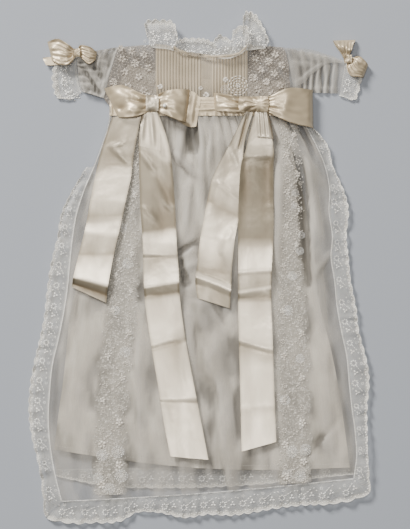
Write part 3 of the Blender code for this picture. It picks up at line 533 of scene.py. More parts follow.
def raise_ground(x, y, z):
    """What is laid becomes ground for what follows. Its grid is first made finer than the cells, so that it
    fills each cell that it covers."""
    for _ in range(2):
        step = np.hypot(np.diff(x, axis=0), np.diff(y, axis=0)).max()
        times = math.ceil(step / (0.7 * CELL))
        x, y, z = (finer(rows, times).T for rows in (x, y, z))
    column = np.clip(np.rint((x + MAP_HALF_WIDTH) / CELL), 0, ground.shape[1] - 1).astype(int)
    row = np.clip(np.rint((y + MAP_HALF_LENGTH) / CELL), 0, ground.shape[0] - 1).astype(int)
    np.maximum.at(ground, (row, column), z)


def top_of(node, x, y):
    """Height of a solid's upper side over each place, or at its nearest edge."""
    mesh = frame["nodes"][node].data
    faces = [face.vertices for face in mesh.polygons]
    tree = BVHTree.FromPolygons([point.co for point in mesh.vertices], faces)
    heights = np.empty(x.size)
    for index, (px, py) in enumerate(zip(x.ravel() * MM, y.ravel() * MM)):
        hit = tree.ray_cast((px, py, 1.0), (0, 0, -1))[0]
        if hit is None:
            hit = tree.find_nearest((px, py, 0.05))[0]
        heights[index] = hit.z
    return heights.reshape(x.shape) / MM


def soften(z, cells):
    """Blurs a grid of heights by so many points, first from row to row and then from column to column."""
    for spread_by in cells:
        reach = math.ceil(2.5 * spread_by)
        weights = np.exp(-0.5 * (np.arange(-reach, reach + 1) / spread_by) ** 2)
        weights /= weights.sum()
        padded = np.pad(z, ((reach, reach), (0, 0)), mode="edge")
        z = sum(weight * padded[shift: shift + len(z)] for shift, weight in enumerate(weights)).T
    return z


def creases(name, x, y):
    """Soft ridges and troughs of one piece, which fade at their ends."""
    total = np.zeros_like(x)
    for from_x, from_y, to_x, to_y, height, left_width, right_width in CREASES.get(name, ()):
        length = math.hypot(to_x - from_x, to_y - from_y)
        way_x, way_y = (to_x - from_x) / length, (to_y - from_y) / length
        run = np.clip(((x - from_x) * way_x + (y - from_y) * way_y) / length, 0, 1)
        off = (y - from_y) * way_x - (x - from_x) * way_y
        width = np.where(off > 0, left_width, right_width)
        total += height * np.exp(-(off / width) ** 2) * (4 * run * (1 - run)) ** 0.6
    return total


def unevenly(place, seed):
    """A slow wander between about -1 and 1, for gathers and folds that are never quite alike."""
    return (
        0.5 * np.sin(7.1 * place + 1.7 * seed) + 0.3 * np.sin(17.3 * place + 2.9 * seed)
        + 0.2 * np.sin(31.7 * place + 4.3 * seed)
    )


def crumple(x, y, seed, size):
    """Small uneven dents with soft ridges between them, about 1 high, as in cloth that has been handled."""
    total = np.zeros_like(x)
    for step in range(5):
        angle = 0.7 + 2.39 * step + seed
        pitch = size * (0.7 + 0.35 * ((step * 0.618 + 0.3 * seed) % 1) * 2)
        side = x * math.sin(angle) - y * math.cos(angle)
        bend = 0.35 * pitch * np.sin(side / (0.9 * pitch) + step + seed)
        wave = (x * math.cos(angle) + y * math.sin(angle) + bend) * math.pi / pitch + 1.3 * step
        patches = 0.6 + 0.4 * np.sin(0.21 * x / (step + 1) + 0.13 * y + step)
        total += (1 - np.abs(np.sin(wave))) ** 1.5 * patches
    return total / 2


def waves(count):
    """A cosine that makes so many waves."""
    return np.cos(2 * math.pi * count)


def start_grid(name, columns, rows):
    """A flat grid, and each point's place across and along it from 0 to 1."""
    bpy.ops.mesh.primitive_grid_add(x_subdivisions=columns, y_subdivisions=rows, size=1)
    piece = bpy.context.object
    piece.name = piece.data.name = name
    points = np.empty(3 * len(piece.data.vertices))
    piece.data.vertices.foreach_get("co", points)
    points = points.reshape(rows + 1, columns + 1, 3)
    return piece, points[..., 0] + 0.5, 0.5 - points[..., 1]


def set_points(piece, x, y, z):
    points = np.stack((x, y, z), axis=-1) * MM
    piece.data.vertices.foreach_set("co", points.ravel())
    piece.data.update()
    mean_normal_z = sum(face.normal.z for face in piece.data.polygons)
    if mean_normal_z < 0:
        piece.data.flip_normals()


def set_cloth_map(piece, across, along, width, length):
    """Lays the cloth's own measure on it, in metres across and along the threads."""
    layer = piece.data.uv_layers.active
    layer.name = CLOTH_UV
    corners = np.empty(len(piece.data.loops), int)
    piece.data.loops.foreach_get("vertex_index", corners)
    spots = np.stack((across.ravel()[corners] * width, along.ravel()[corners] * length), axis=-1) * MM
    layer.data.foreach_set("uv", spots.ravel())


def set_share(piece, name, values):
    """Keeps one number from 0 to 1 with each point."""
    share = piece.data.attributes.new(name, "FLOAT", "POINT")
    share.data.foreach_set("value", np.clip(values, 0, 1).ravel())


def apply_wall(piece, wall, offset):
    solid = piece.modifiers.new("wall", "SOLIDIFY")
    solid.thickness = wall * MM
    solid.offset = offset
    bpy.ops.object.modifier_apply(modifier=solid.name)
    bpy.ops.object.shade_smooth_by_angle(angle=math.radians(60))


def put_in(piece, material, nodes=()):
    """Gives a finished piece its material, and the solids that it stands for."""
    piece.data.materials.clear()
    piece.data.materials.append(material)
    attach(piece, "root")
    if nodes:
        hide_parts(*nodes)
    piece.select_set(False)


def steepness(x, y, z):
    """How steep a surface is. See-through cloth looks denser there."""
    dz_rows, dz_columns = np.gradient(z)
    row_step = np.hypot(*(np.gradient(axis)[0] for axis in (x, y))) + 0.01
    column_step = np.hypot(*(np.gradient(axis)[1] for axis in (x, y))) + 0.01
    return np.hypot(dz_rows / row_step, dz_columns / column_step)


def lay_cloth(node, place, relief=None, share_at=None, area=None):
    """A thin cloth on the form of its solid, no lower than what already lies there. share_at says how closely
    it is worked at each place, or, for satin, how much painted highlight or shade it has there. Cloth without
    it hides more where it folds, and more on its ridges and less in its troughs, which paints its ridges
    lighter."""
    finish, columns, rows, blur, cut, held, rests_on = PIECES[node]
    material, kind, slot, wall = FINISHES[finish]
    piece, across, along = start_grid(f"{node}_{kind}", columns, rows)
    x, y = place(across, along)
    lowest = ground_at(x, y) + LIE_GAP + wall
    folded = soften(np.maximum(top_of(node, x, y), lowest), blur) + creases(node, x, y)
    if relief is not None:
        folded += relief(across, along)
    z = soften(np.maximum(folded, lowest), (0.7, 0.7))
    set_points(piece, x, y, z)
    width = np.hypot(np.diff(x, axis=1), np.diff(y, axis=1)).sum(axis=1).mean()
    length = np.hypot(np.diff(x, axis=0), np.diff(y, axis=0)).sum(axis=0).mean()
    set_cloth_map(piece, across, along, width, length)
    if share_at is None:
        # Cloth hides more where it slants. It is also made to hide more on its ridges and less in its troughs:
        # a painted highlight on the ridges
        share = 1.6 * steepness(x, y, z) + 0.2 * (z - soften(z, (4, 4))) - 0.05
    else:
        share = share_at(across, along)
    set_share(piece, PAINTED_SATIN_LIGHT if kind == "satin" else COVER, share)
    # Painted shade: how far each point lies below its softened folds, counted before what lies under it holds
    # it up
    set_share(piece, PAINTED_SHADE_DEPTH, 0.8 * (soften(folded, (7, 7)) - folded))
    apply_wall(piece, wall, -1)
    raise_ground(x, y, z)
    put_in(piece, material, (node,))
    if area is None:
        area = cut[0] * cut[1]


def add_node(tree, kind, inputs=None, **settings):
    """Adds a shader node. Its inputs take a value or another node's output."""
    made = tree.nodes.new(kind)
    for name, value in settings.items():
        setattr(made, name, value)
    for name, value in (inputs or {}).items():
        if isinstance(value, bpy.types.NodeSocket):
            tree.links.new(value, made.inputs[name])
        else:
            made.inputs[name].default_value = value
    return made


def linear(colour):
    """An sRGB hex colour as linear red, green, blue and alpha."""
    levels = [int(colour[index: index + 2], 16) / 255 for index in (1, 3, 5)]
    levels = [level / 12.92 if level <= 0.04045 else ((level + 0.055) / 1.055) ** 2.4 for level in levels]
    return (*levels, 1.0)


def start_material(name, **sockets):
    """A material with its shader's own numbers."""
    material = bpy.data.materials.new(name)
    material.use_nodes = True
    tree = material.node_tree
    shader = tree.nodes["Principled BSDF"]
    for socket, value in sockets.items():
        shader.inputs[socket.replace("_", " ")].default_value = value
    return material, tree, shader


def feed(tree, shader, **sockets):
    """Leads patterns to the shader."""
    for socket, value in sockets.items():
        tree.links.new(value, shader.inputs[socket.replace("_", " ")])


def cloth_measure(tree, across, along):
    """The cloth's own measure, counted in steps of so many millimetres across and along."""
    uv = add_node(tree, "ShaderNodeUVMap", uv_map=CLOTH_UV).outputs["UV"]
    scale = (1 / (across * MM), 1 / (along * MM), 1.0)
    return add_node(tree, "ShaderNodeMapping", {"Vector": uv, "Scale": scale}).outputs["Vector"]


def work_out(tree, operation, first, second=0.0):
    return add_node(tree, "ShaderNodeMath", {0: first, 1: second}, operation=operation).outputs["Value"]


def share_of(tree, name):
    """The number that each point keeps under a name."""
    return add_node(tree, "ShaderNodeAttribute", attribute_name=name).outputs["Fac"]


def ramp(tree, factor, low, high, low_at=0.0, high_at=1.0):
    """A colour between two hex colours."""
    made = add_node(tree, "ShaderNodeValToRGB", {"Fac": factor})
    for element, place, colour in zip(made.color_ramp.elements, (low_at, high_at), (low, high)):
        element.position = place
        element.color = linear(colour)
    return made.outputs["Color"]


def spread(tree, value, low, high, to_low=0.0, to_high=1.0):
    """Carries a range of one value to another range."""
    return add_node(tree, "ShaderNodeMapRange", {
        "Value": value, "From Min": low, "From Max": high, "To Min": to_low, "To Max": to_high,
    }).outputs["Result"]


def noise(tree, vector, detail=2.0, roughness=0.5):
    return add_node(tree, "ShaderNodeTexNoise", {
        "Vector": vector, "Scale": 1.0, "Detail": detail, "Roughness": roughness,
    }).outputs["Fac"]


def bump(tree, shader, height, distance, strength, after=None):
    """Relief of so many millimetres, on top of a relief that may be there already."""
    inputs = {"Height": height, "Distance": distance * MM, "Strength": strength}
    if after is not None:
        inputs["Normal"] = after
    made = add_node(tree, "ShaderNodeBump", inputs).outputs["Normal"]
    feed(tree, shader, Normal=made)
    return made


def threads(tree, pitch):
    """Crossing threads of a plain weave, from 0 between them to 1 on them."""
    steps = add_node(tree, "ShaderNodeSeparateXYZ", {"Vector": cloth_measure(tree, pitch, pitch)})
    swings = []
    for way in ("X", "Y"):
        turn = work_out(tree, "MULTIPLY", steps.outputs[way], 2 * math.pi)
        swings.append(work_out(tree, "SINE", turn))
    return spread(tree, work_out(tree, "MAXIMUM", *swings), -0.5, 1.0)


def paint_shade_in_dips(tree, colour, shade, most):
    """Paints shade into a colour in the dips between folds, the more the deeper each point lies."""
    depth = spread(tree, share_of(tree, PAINTED_SHADE_DEPTH), 0.0, 1.0, 0.0, most)
    inputs = {"Factor": depth, MIX_FROM: colour, MIX_TO: linear(shade)}
    return add_node(tree, "ShaderNodeMix", inputs, data_type="RGBA").outputs[MIX_RESULT]


def sheer(name, low, high, cover):
    """Sheer plain-woven cloth, matt: see-through where flat and whiter where it folds, and whiter still on its
    ridges as a painted highlight, with painted shade in the dips between folds. Its real threads are 0.3 mm
    apart and are drawn at 1 mm, and slubs run down it as faint streaks. Cover is how much each face hides."""
    material, tree, shader = start_material(name, Roughness=0.6, Sheen_Weight=0.25, Sheen_Roughness=0.4)
    weave = threads(tree, 1.0)
    slubs = noise(tree, cloth_measure(tree, 2.6, 60.0))
    clouds = noise(tree, cloth_measure(tree, 50.0, 80.0))
    thin = spread(tree, slubs, 0.3, 0.7, 0.8 * cover, 1.2 * cover)
    thin = work_out(tree, "ADD", thin, spread(tree, weave, 0.0, 1.0, 0.0, 0.05))
    full = work_out(tree, "ADD", thin, spread(tree, share_of(tree, COVER), 0.0, 1.0, 0.0, 0.4))
    # Painted shade darkens the colour in the dips between folds
    feed(
        tree, shader, Alpha=work_out(tree, "MINIMUM", full, 0.96),
        Base_Color=paint_shade_in_dips(tree, ramp(tree, clouds, low, high, 0.35, 0.65), "#5F594F", 0.85),
    )
    bump(tree, shader, weave, 0.1, 0.5)
    return material


def slip_silk():
    """Habotai silk, plain woven and pressed: smooth ivory with a soft low sheen and faint drawer marks."""
    material, tree, shader = start_material(
        "habotai silk, plain woven", Roughness=0.42, Sheen_Weight=0.2, Sheen_Roughness=0.35, Metallic=0.15,
    )
    clouds = noise(tree, cloth_measure(tree, 70.0, 110.0), 3.0, 0.55)
    tone = ramp(tree, clouds, "#BDB3A1", "#E0D7C6", 0.35, 0.7)
    # Painted shade darkens the colour in the dips between folds
    feed(tree, shader, Base_Color=paint_shade_in_dips(tree, tone, "#625B4F", 0.85))
    bump(tree, shader, noise(tree, cloth_measure(tree, 9.0, 26.0), 3.0, 0.55), 1.2, 0.35)
    return material


def satin(name, low, high, roughness, metallic):
    """Satin ribbon, woven with long warp floats: bright and smooth, its gloss drawn out across the warp. The
    warp's fine lines are 0.1 mm apart and are drawn at 0.7 mm. Age has left its colour warmer in places.
    Its colour also runs from a painted shade to a painted highlight by the painted light kept with each
    point, and painted shade darkens it in the dips between folds."""
    material, tree, shader = start_material(
        name, Anisotropic=0.45, Sheen_Weight=0.1, Sheen_Roughness=0.3, Specular_IOR_Level=0.7,
        Metallic=metallic,
    )
    tangent = add_node(tree, "ShaderNodeTangent", direction_type="UV_MAP", uv_map=CLOTH_UV)
    ageing = noise(tree, cloth_measure(tree, 45.0, 70.0), 3.0, 0.6)
    # Random age, plus the painted highlight or shade kept with each point
    pale = work_out(tree, "ADD", spread(tree, ageing, 0.0, 1.0, -0.15, 0.15), share_of(tree, PAINTED_SATIN_LIGHT))
    # Painted shade darkens the colour in the dips between folds
    feed(
        tree, shader, Tangent=tangent.outputs["Tangent"],
        Base_Color=paint_shade_in_dips(tree, ramp(tree, pale, low, high), "#7A684E", 0.6),
        Roughness=spread(tree, ageing, 0.3, 0.7, roughness + 0.04, roughness - 0.04),
    )
    dents = bump(tree, shader, noise(tree, cloth_measure(tree, 14.0, 22.0)), 1.4, 0.35)
    warp = noise(tree, cloth_measure(tree, 0.7, 40.0), 1.0)
    bump(tree, shader, warp, 0.12, 0.35, dents)
    return material


def net():
    """Cotton net lace, bobbin made: open diamond meshes of fine thread. The real meshes are 1.2 mm and are
    drawn at 2.4 mm, so that they show."""
    material, tree, shader = start_material("cotton net, bobbin made", Roughness=0.8, Sheen_Weight=0.2)
    steps = add_node(tree, "ShaderNodeSeparateXYZ", {"Vector": cloth_measure(tree, 2.4, 2.8)})
    lines = []
    for operation in ("ADD", "SUBTRACT"):
        slant = work_out(tree, operation, steps.outputs["X"], steps.outputs["Y"])
        lines.append(work_out(tree, "PINGPONG", slant, 0.5))
    thread = work_out(tree, "LESS_THAN", work_out(tree, "MINIMUM", *lines), 0.075)
    open_net = spread(tree, thread, 0.0, 1.0, 0.04, 0.75)
    cover = work_out(tree, "ADD", open_net, spread(tree, share_of(tree, COVER), 0.0, 1.0, 0.0, 0.6))
    slack = noise(tree, cloth_measure(tree, 12.0, 16.0))
    feed(
        tree, shader, Base_Color=ramp(tree, slack, "#C9C3B6", "#E4DFD3", 0.3, 0.7),
        Alpha=work_out(tree, "MINIMUM", cover, 0.98),
    )
    return material


def worked_muslin(name, low, high):
    """Cotton muslin, embroidered all over: matt and nearly opaque, with a close ground of small knots 2.5 mm
    apart."""
    material, tree, shader = start_material(name, Roughness=0.78, Sheen_Weight=0.2)
    knots = add_node(tree, "ShaderNodeTexVoronoi", {
        "Vector": cloth_measure(tree, 2.5, 2.5), "Scale": 1.0, "Randomness": 0.85,
    }).outputs["Distance"]
    patches = noise(tree, cloth_measure(tree, 9.0, 12.0), 3.0, 0.6)
    raised = spread(tree, knots, 0.1, 0.6, 1.0, 0.0)
    tone = ramp(tree, work_out(tree, "MULTIPLY", raised, patches), low, high, 0.05, 0.5)
    close = spread(tree, patches, 0.3, 0.7, 0.0, 0.3)
    cover = work_out(tree, "ADD", spread(tree, raised, 0.0, 1.0, 0.15, 0.45), close)
    feed(tree, shader, Base_Color=tone, Alpha=work_out(tree, "MULTIPLY", cover, share_of(tree, COVER)))
    bump(tree, shader, raised, 0.5, 0.6)
    return material


def stitch_thread(name, low, high, roughness):
    """Mercerised cotton thread, hand stitched: small padded shapes, slightly glossy, with uneven age."""
    material, tree, shader = start_material(name, Roughness=roughness, Sheen_Weight=0.2)
    place = add_node(tree, "ShaderNodeTexCoord").outputs["Object"]
    ageing, strands = (
        add_node(tree, "ShaderNodeMapping", {"Vector": place, "Scale": (scale,) * 3}).outputs["Vector"]
        for scale in (140.0, 900.0)
    )
    feed(tree, shader, Base_Color=ramp(tree, noise(tree, ageing), low, high, 0.35, 0.65))
    bump(tree, shader, noise(tree, strands, 1.0), 0.15, 0.4)
    return material


def imitation_pearl():
    """Glass bead, dipped in pearl essence: creamy with a clear coat and a faint rosy rim."""
    material, tree, shader = start_material(
        "glass bead, pearl dipped", Roughness=0.22, Coat_Weight=0.8, Coat_Roughness=0.08,
        Specular_IOR_Level=0.6,
    )
    rim = add_node(tree, "ShaderNodeLayerWeight", {"Blend": 0.35}).outputs["Facing"]
    feed(tree, shader, Base_Color=ramp(tree, rim, "#F1EBDD", "#CDBFB4", 0.1, 0.9))
    return material


def floor_paint():
    """Painted board, rolled matt: a plain pale grey."""
    material, _, shader = start_material("painted board, rolled matt", Roughness=0.9)
    shader.inputs["Base Color"].default_value = linear("#999CA1")
    return material


ORGANZA = sheer("silk organza, plain woven", "#B8B0A2", "#D0C8BA", 0.13)
VOILE = sheer("cotton voile, plain woven", "#B3A286", "#CFBEA3", 0.4)
DOUBLED_ORGANZA = sheer("silk organza, plain woven and doubled", "#ABA498", "#C8C2B6", 0.2)
# Each satin's two colours are its painted shade and its painted highlight
SATIN = satin("silk satin ribbon, woven", "#796D57", "#FFEFD4", 0.35, 0.4)
AGED_SATIN = satin("silk satin ribbon, woven and aged", "#9A8562", "#E4D2B2", 0.4, 0.38)
SLIP_SILK, NET = slip_silk(), net()
MUSLIN = worked_muslin("cotton muslin, embroidered all over", "#C0B8A9", "#E0D9CC")
AGED_MUSLIN = worked_muslin("cotton muslin, embroidered and aged", "#7E7365", "#ADA293")
LACE_THREAD = stitch_thread("cotton lace thread, worked close", "#E6E1D6", "#FAF7F0", 0.7)
FLOSS = stitch_thread("cotton floss, hand embroidered", "#C4BAAA", "#E3DBCD", 0.55)
AGED_FLOSS = stitch_thread("cotton floss, hand embroidered and aged", "#9F9485", "#C3B9AA", 0.6)
SEWING_THREAD = stitch_thread("sewing cotton, running stitched", "#CFC6B6", "#E6DFD0", 0.6)

# Each finish: material, end of the piece's name, slot, thickness of the cloth
FINISHES = {
    "organza": (ORGANZA, "organza", "sheer_organza", 0.25),
    "doubled organza": (DOUBLED_ORGANZA, "organza", "sheer_organza", 0.25),
    "voile": (VOILE, "voile", "sheer_organza", 0.25),
    "folded voile": (VOILE, "voile", "sheer_organza", RIBBON_WALL),
    "net": (NET, "net", "lace_net", 0.3),
    "silk": (SLIP_SILK, "silk", "slip_silk", 0.35),
    "muslin": (MUSLIN, "muslin", "embroidery", 0.25),
    "aged muslin": (AGED_MUSLIN, "muslin", "embroidery", 0.25),
    "satin": (SATIN, "satin", "satin_ribbon", RIBBON_WALL),
    "aged satin": (AGED_SATIN, "satin", "satin_ribbon", RIBBON_WALL),
}


def stitched_shape(parts):
    """The points and faces of one small stitched shape, made of padded ovals: x, y, length, width, height,
    turn."""
    for x, y, length, width, height, turn in parts:
        bpy.ops.mesh.primitive_ico_sphere_add(
            subdivisions=1, radius=0.5, location=(x, y, 0), rotation=(0, 0, math.radians(turn)),
            scale=(length, width, 2 * height),
        )
        bpy.context.object.name = "oval"
    for oval in [thing for thing in bpy.data.objects if thing.name.startswith("oval")]:
        oval.select_set(True)
    bpy.ops.object.transform_apply(location=True, rotation=True, scale=True)
    bpy.ops.object.join()
    joined = bpy.context.object
    points = np.array([point.co[:] for point in joined.data.vertices])
    faces = np.array([face.vertices[:] for face in joined.data.polygons])
    bpy.data.objects.remove(joined)
    return points, faces


def petals(count, reach, length, width, height, centre=0.0, turn=0.0):
    """Ovals set round in a ring, with one more in the middle where centre is its size."""
    ring = []
    for index in range(count):
        degrees = turn + 360 * index / count
        angle = math.radians(degrees)
        ring.append((reach * math.cos(angle), reach * math.sin(angle), length, width, height, degrees))
    if centre:
        ring.append((0, 0, centre, centre, height * 1.2, 0))
    return ring


def moved(parts, x, y):
    return [(part[0] + x, part[1] + y, *part[2:]) for part in parts]


DOT = stitched_shape([(0, 0, 1, 1, 0.35, 0)])
STITCH = stitched_shape([(0, 0, 1, 0.42, 0.2, 0)])
FLOWER = stitched_shape(petals(5, 0.28, 0.38, 0.34, 0.1, 0.18, 18))
RING_FLOWER = stitched_shape(petals(7, 0.36, 0.2, 0.3, 0.1, 0.14))
ROSE = stitched_shape(
    petals(6, 3.0, 3.4, 2.8, 0.5, 3.0) + petals(9, 7.2, 2.0, 5.0, 0.5, 0, 12)
    + petals(12, 11.4, 2.2, 6.0, 0.5) + petals(14, 15.2, 2.2, 6.8, 0.5, 0, 8)
)
LEAF_PAIR = stitched_shape([(0.25, 0.16, 0.55, 0.22, 0.1, 35), (0.25, -0.16, 0.55, 0.22, 0.1, -35)])
# One repeat of the lace: a ringed flower near the seam, a stem leaning to the edge, a trefoil and small dots
LACE_SPRIG = stitched_shape(
    moved(petals(8, 3.1, 2.6, 1.9, 0.45), -5, -3.5)
    + [(-0.8, -0.4, 3.4, 1.2, 0.4, 35), (2.2, 1.7, 3.2, 1.1, 0.4, 35), (5.0, 3.6, 3.0, 1.1, 0.4, 30)]
    + moved(petals(3, 1.9, 3.6, 2.3, 0.45, 0, 90), 6.5, -2.4)
    + moved(petals(5, 1.3, 1.2, 1.2, 0.35), -3.5, 5.4)
    + [(-9.5, 4.0, 2.6, 1.3, 0.35, -40), (9.8, 5.2, 2.6, 1.3, 0.35, 20), (1.5, -6.8, 3.2, 1.4, 0.35, -15)]
)


def set_out(plan, rows):
    """Places on a piece as x, y, size and turn. Rows: across, along, size, turn from the piece's length."""
    across, along, size, turn = (np.array(column, float) for column in zip(*rows))
    x, y = plan(across, along)
    start = np.clip(along - 0.002, 0, 0.996)
    start_x, start_y = plan(across, start)
    ahead_x, ahead_y = plan(across, start + 0.004)
    way = np.arctan2(ahead_y - start_y, ahead_x - start_x)
    return np.stack((x, y, size, np.radians(turn) + way), axis=-1)


def sew_on(name, shape, stamps, material):
    """Copies of one stitched shape, a little sunk in the cloth under them, and joined. Stamps: x, y, size,
    turn. None dips below the surface that the gown lies on."""
    points, faces = shape
    x, y, size, turn = (column[:, None] for column in np.asarray(stamps, float).T)
    px, py, pz = points.T
    all_x = x + size * (px * np.cos(turn) - py * np.sin(turn))
    all_y = y + size * (px * np.sin(turn) + py * np.cos(turn))
    all_z = np.maximum(ground_at(all_x, all_y) + size * pz - 0.1, 0)
    spots = np.stack((all_x, all_y, all_z), axis=-1).reshape(-1, 3) * MM
    every_face = (faces[None] + len(points) * np.arange(len(size))[:, None, None]).reshape(-1, 3)
    mesh = bpy.data.meshes.new(name)
    mesh.from_pydata(spots.tolist(), [], every_face.tolist())
    mesh.polygons.foreach_set("use_smooth", np.ones(len(every_face), bool))
    piece = bpy.data.objects.new(name, mesh)
    bpy.context.scene.collection.objects.link(piece)
    put_in(piece, material)


def sew_in_place(node, plan, thread, groups):
    """Several kinds of stitched shapes on one piece."""
    for part, shape, rows in groups:
        sew_on(f"{node}_{part}", shape, set_out(plan, rows), thread)


def sew_lace(node, plan, repeat=30.0, sprig_width=27.0):
    """Sprigs, corded scallops and a row of dots on one lace edging."""
    steps = np.linspace(0, 1, 400)
    middle_x, middle_y = plan(0.6 + 0 * steps, steps)
    length = np.hypot(np.diff(middle_x), np.diff(middle_y)).sum()
    count = max(2, round(length / repeat))
    sprigs = []
    for index in range(count):
        along = (index + 0.5) / count
        seam_x, seam_y = plan(np.array(0.0), np.array(along))
        edge_x, edge_y = plan(np.array(1.0), np.array(along))
        width = math.hypot(edge_x - seam_x, edge_y - seam_y)
        sprigs.append((0.44, along, min(1.25, 1.15 * width / sprig_width), 6 * math.sin(5 * index)))
    edge_x, edge_y = plan(1 + 0 * steps, steps)
    edge_length = np.hypot(np.diff(edge_x), np.diff(edge_y)).sum()
    beads, dots = round(edge_length / 2.5), round(edge_length / 4.2)
    edge = [(0.985, (index + 0.5) / beads, 3.0, 0) for index in range(beads)]
    inner = [(0.87 + 0.03 * (-1) ** index, (index + 0.5) / dots, 1.9, 0) for index in range(dots)]
    for part, shape, rows in (
        ("sprigs", LACE_SPRIG, sprigs), ("edge_cord", STITCH, edge), ("edge_dots", DOT, inner),
    ):
        sew_on(f"{node}_{part}", shape, set_out(plan, rows), LACE_THREAD)


def sew_band(node, plan, length=540.0, stem_waves=9, swing=0.24):
    """A flowering stem down one band, among ringed flowers and close small leaves."""
    def shifted(across, along):
        return plan(across + BAND_SHIFT[node] * np.clip(1 - along / 0.5, 0, 1), along)

    chain, leaves, flowers, rings = [], [], [], []
    stitches = round(length / 4)
    for index in range(stitches):
        along = (index + 0.5) / stitches
        turn = 2 * math.pi * stem_waves
        across = 0.5 + swing * math.sin(turn * along)
        lean = math.degrees(math.atan2(swing * 50 * turn * math.cos(turn * along), length))
        chain.append((across, along, 4.4, lean))
        if index % 2:
            leaves.append((across, along, 5.4, lean))
    for index in range(2 * stem_waves):
        along = (index + 0.5) / (2 * stem_waves)
        big = 14.0 if along > 0.8 else 9.5
        side = 0.25 if index % 2 else 0.75
        flowers.append((side, along, big + math.sin(7 * index), 40 * index))
        rings.append((1 - side, along + 0.35 / (2 * stem_waves), 8.5, 25 * index))
        rings.append((side, along + 0.5 / (2 * stem_waves), 6.5, 25 * index))
    fill = []
    count = 520
    for index in range(count):
        size = 3.0 + 0.8 * math.sin(3.1 * index)
        fill.append((0.06 + 0.88 * (index * 0.618 % 1), (index + 0.5) / count, size, 137 * index % 180))
    sew_in_place(node, shifted, FLOSS, (
        ("stem", STITCH, chain), ("leaves", LEAF_PAIR, leaves), ("flowers", FLOWER, flowers),
        ("rings", RING_FLOWER, rings), ("filling", STITCH, fill),
    ))


def sew_yoke(node, plan, count=15, fillings=260):
    """Flowers and rings in uneven rows, with leaves and close filling, over one yoke."""
    flowers, rings, leaves, fill = [], [], [], []
    for index in range(count):
        across = 0.08 + 0.84 * (index * 0.382 % 1)
        along = (index + 0.5) / count
        if index % 3:
            rings.append((across, along, 11 + 3 * math.sin(5 * index), 40 * index))
            rings.append((across, along, 5.5, 40 * index))
        else:
            flowers.append((across, along, 11 + 2 * math.sin(3 * index), 50 * index))
        for turn in (-110, 20, 150):
            leaves.append((across, along, 12, turn + 35 * index))
    for index in range(fillings):
        fill.append((0.03 + 0.94 * (index * 0.618 % 1), (index + 0.5) / fillings, 2.8, 137 * index % 180))
    sew_in_place(node, plan, AGED_FLOSS, (
        ("flowers", FLOWER, flowers), ("rings", RING_FLOWER, rings), ("leaves", LEAF_PAIR, leaves),
        ("filling", STITCH, fill),
    ))


def sew_bodice_sprays():
    """Sprays worked on the tucked front: a large rose right of the middle and small ones beside it."""
    leaves = []
    for index, (x, y, size, turn) in enumerate(SPRAY_FLOWERS):
        for step in range(4):
            leaves.append((x, y, 0.95 * size, turn + 1.57 * step + 0.4 * index))
    sew_on("bodice_roses", ROSE, SPRAY_ROSES, FLOSS)
    sew_on("bodice_spray_flowers", FLOWER, SPRAY_FLOWERS, FLOSS)
    sew_on("bodice_spray_leaves", LEAF_PAIR, leaves, FLOSS)


def whip_seam(name, line, pitch=2.4, size=3.2, thread=LACE_THREAD, lean=0.5):
    """Small slanted stitches over a seam. The line is a list of x and y."""
    line_x, line_y = (np.array(column, float) for column in zip(*line))
    run = np.concatenate(([0], np.cumsum(np.hypot(np.diff(line_x), np.diff(line_y)))))
    at = np.arange(pitch / 2, run[-1], pitch)
    x, y = line_through(run, line_x)(at), line_through(run, line_y)(at)
    way = np.arctan2(np.gradient(y), np.gradient(x))
    stamps = np.stack((x, y, np.full_like(at, size), way + lean), axis=-1)
    sew_on(name, STITCH, stamps, thread)


def close_edge(across, along):
    """Lace is worked close along its free edge, and a little closer at its seam."""
    ripple = 0.04 * np.sin(170 * along)
    return np.clip((across + ripple - 0.8) / 0.12, 0, 1) + 0.5 * np.clip((0.08 - across) / 0.08, 0, 1)


def evenly(share):
    """Cloth that is worked alike, or satin that has the same painted light, from end to end."""
    return lambda across, along: share + 0 * along


def lace_edge(place, scallops, depth):
    """The plan of a lace edging whose free edge runs in scallops."""
    def edge(across, along):
        swing = np.abs(np.sin(math.pi * scallops * along)) - 0.6
        return place(across * (1 + depth * swing * across), along)

    return edge


def bodice_side(armhole, seam_x, neck_y, underarm_y, waist_x):
    """Plan of a bodice piece between a straight seam and an armhole, from the shoulder to the waist."""
    sections = []
    for index, (x, y) in enumerate(armhole):
        sections.append((x, y, seam_x, neck_y + (underarm_y - neck_y) * index / 4))
    sections.append((waist_x, WAIST_Y, seam_x, WAIST_Y))
    if waist_x > 0:
        sections = [section[2:] + section[:2] for section in sections]
    return loft(sections)


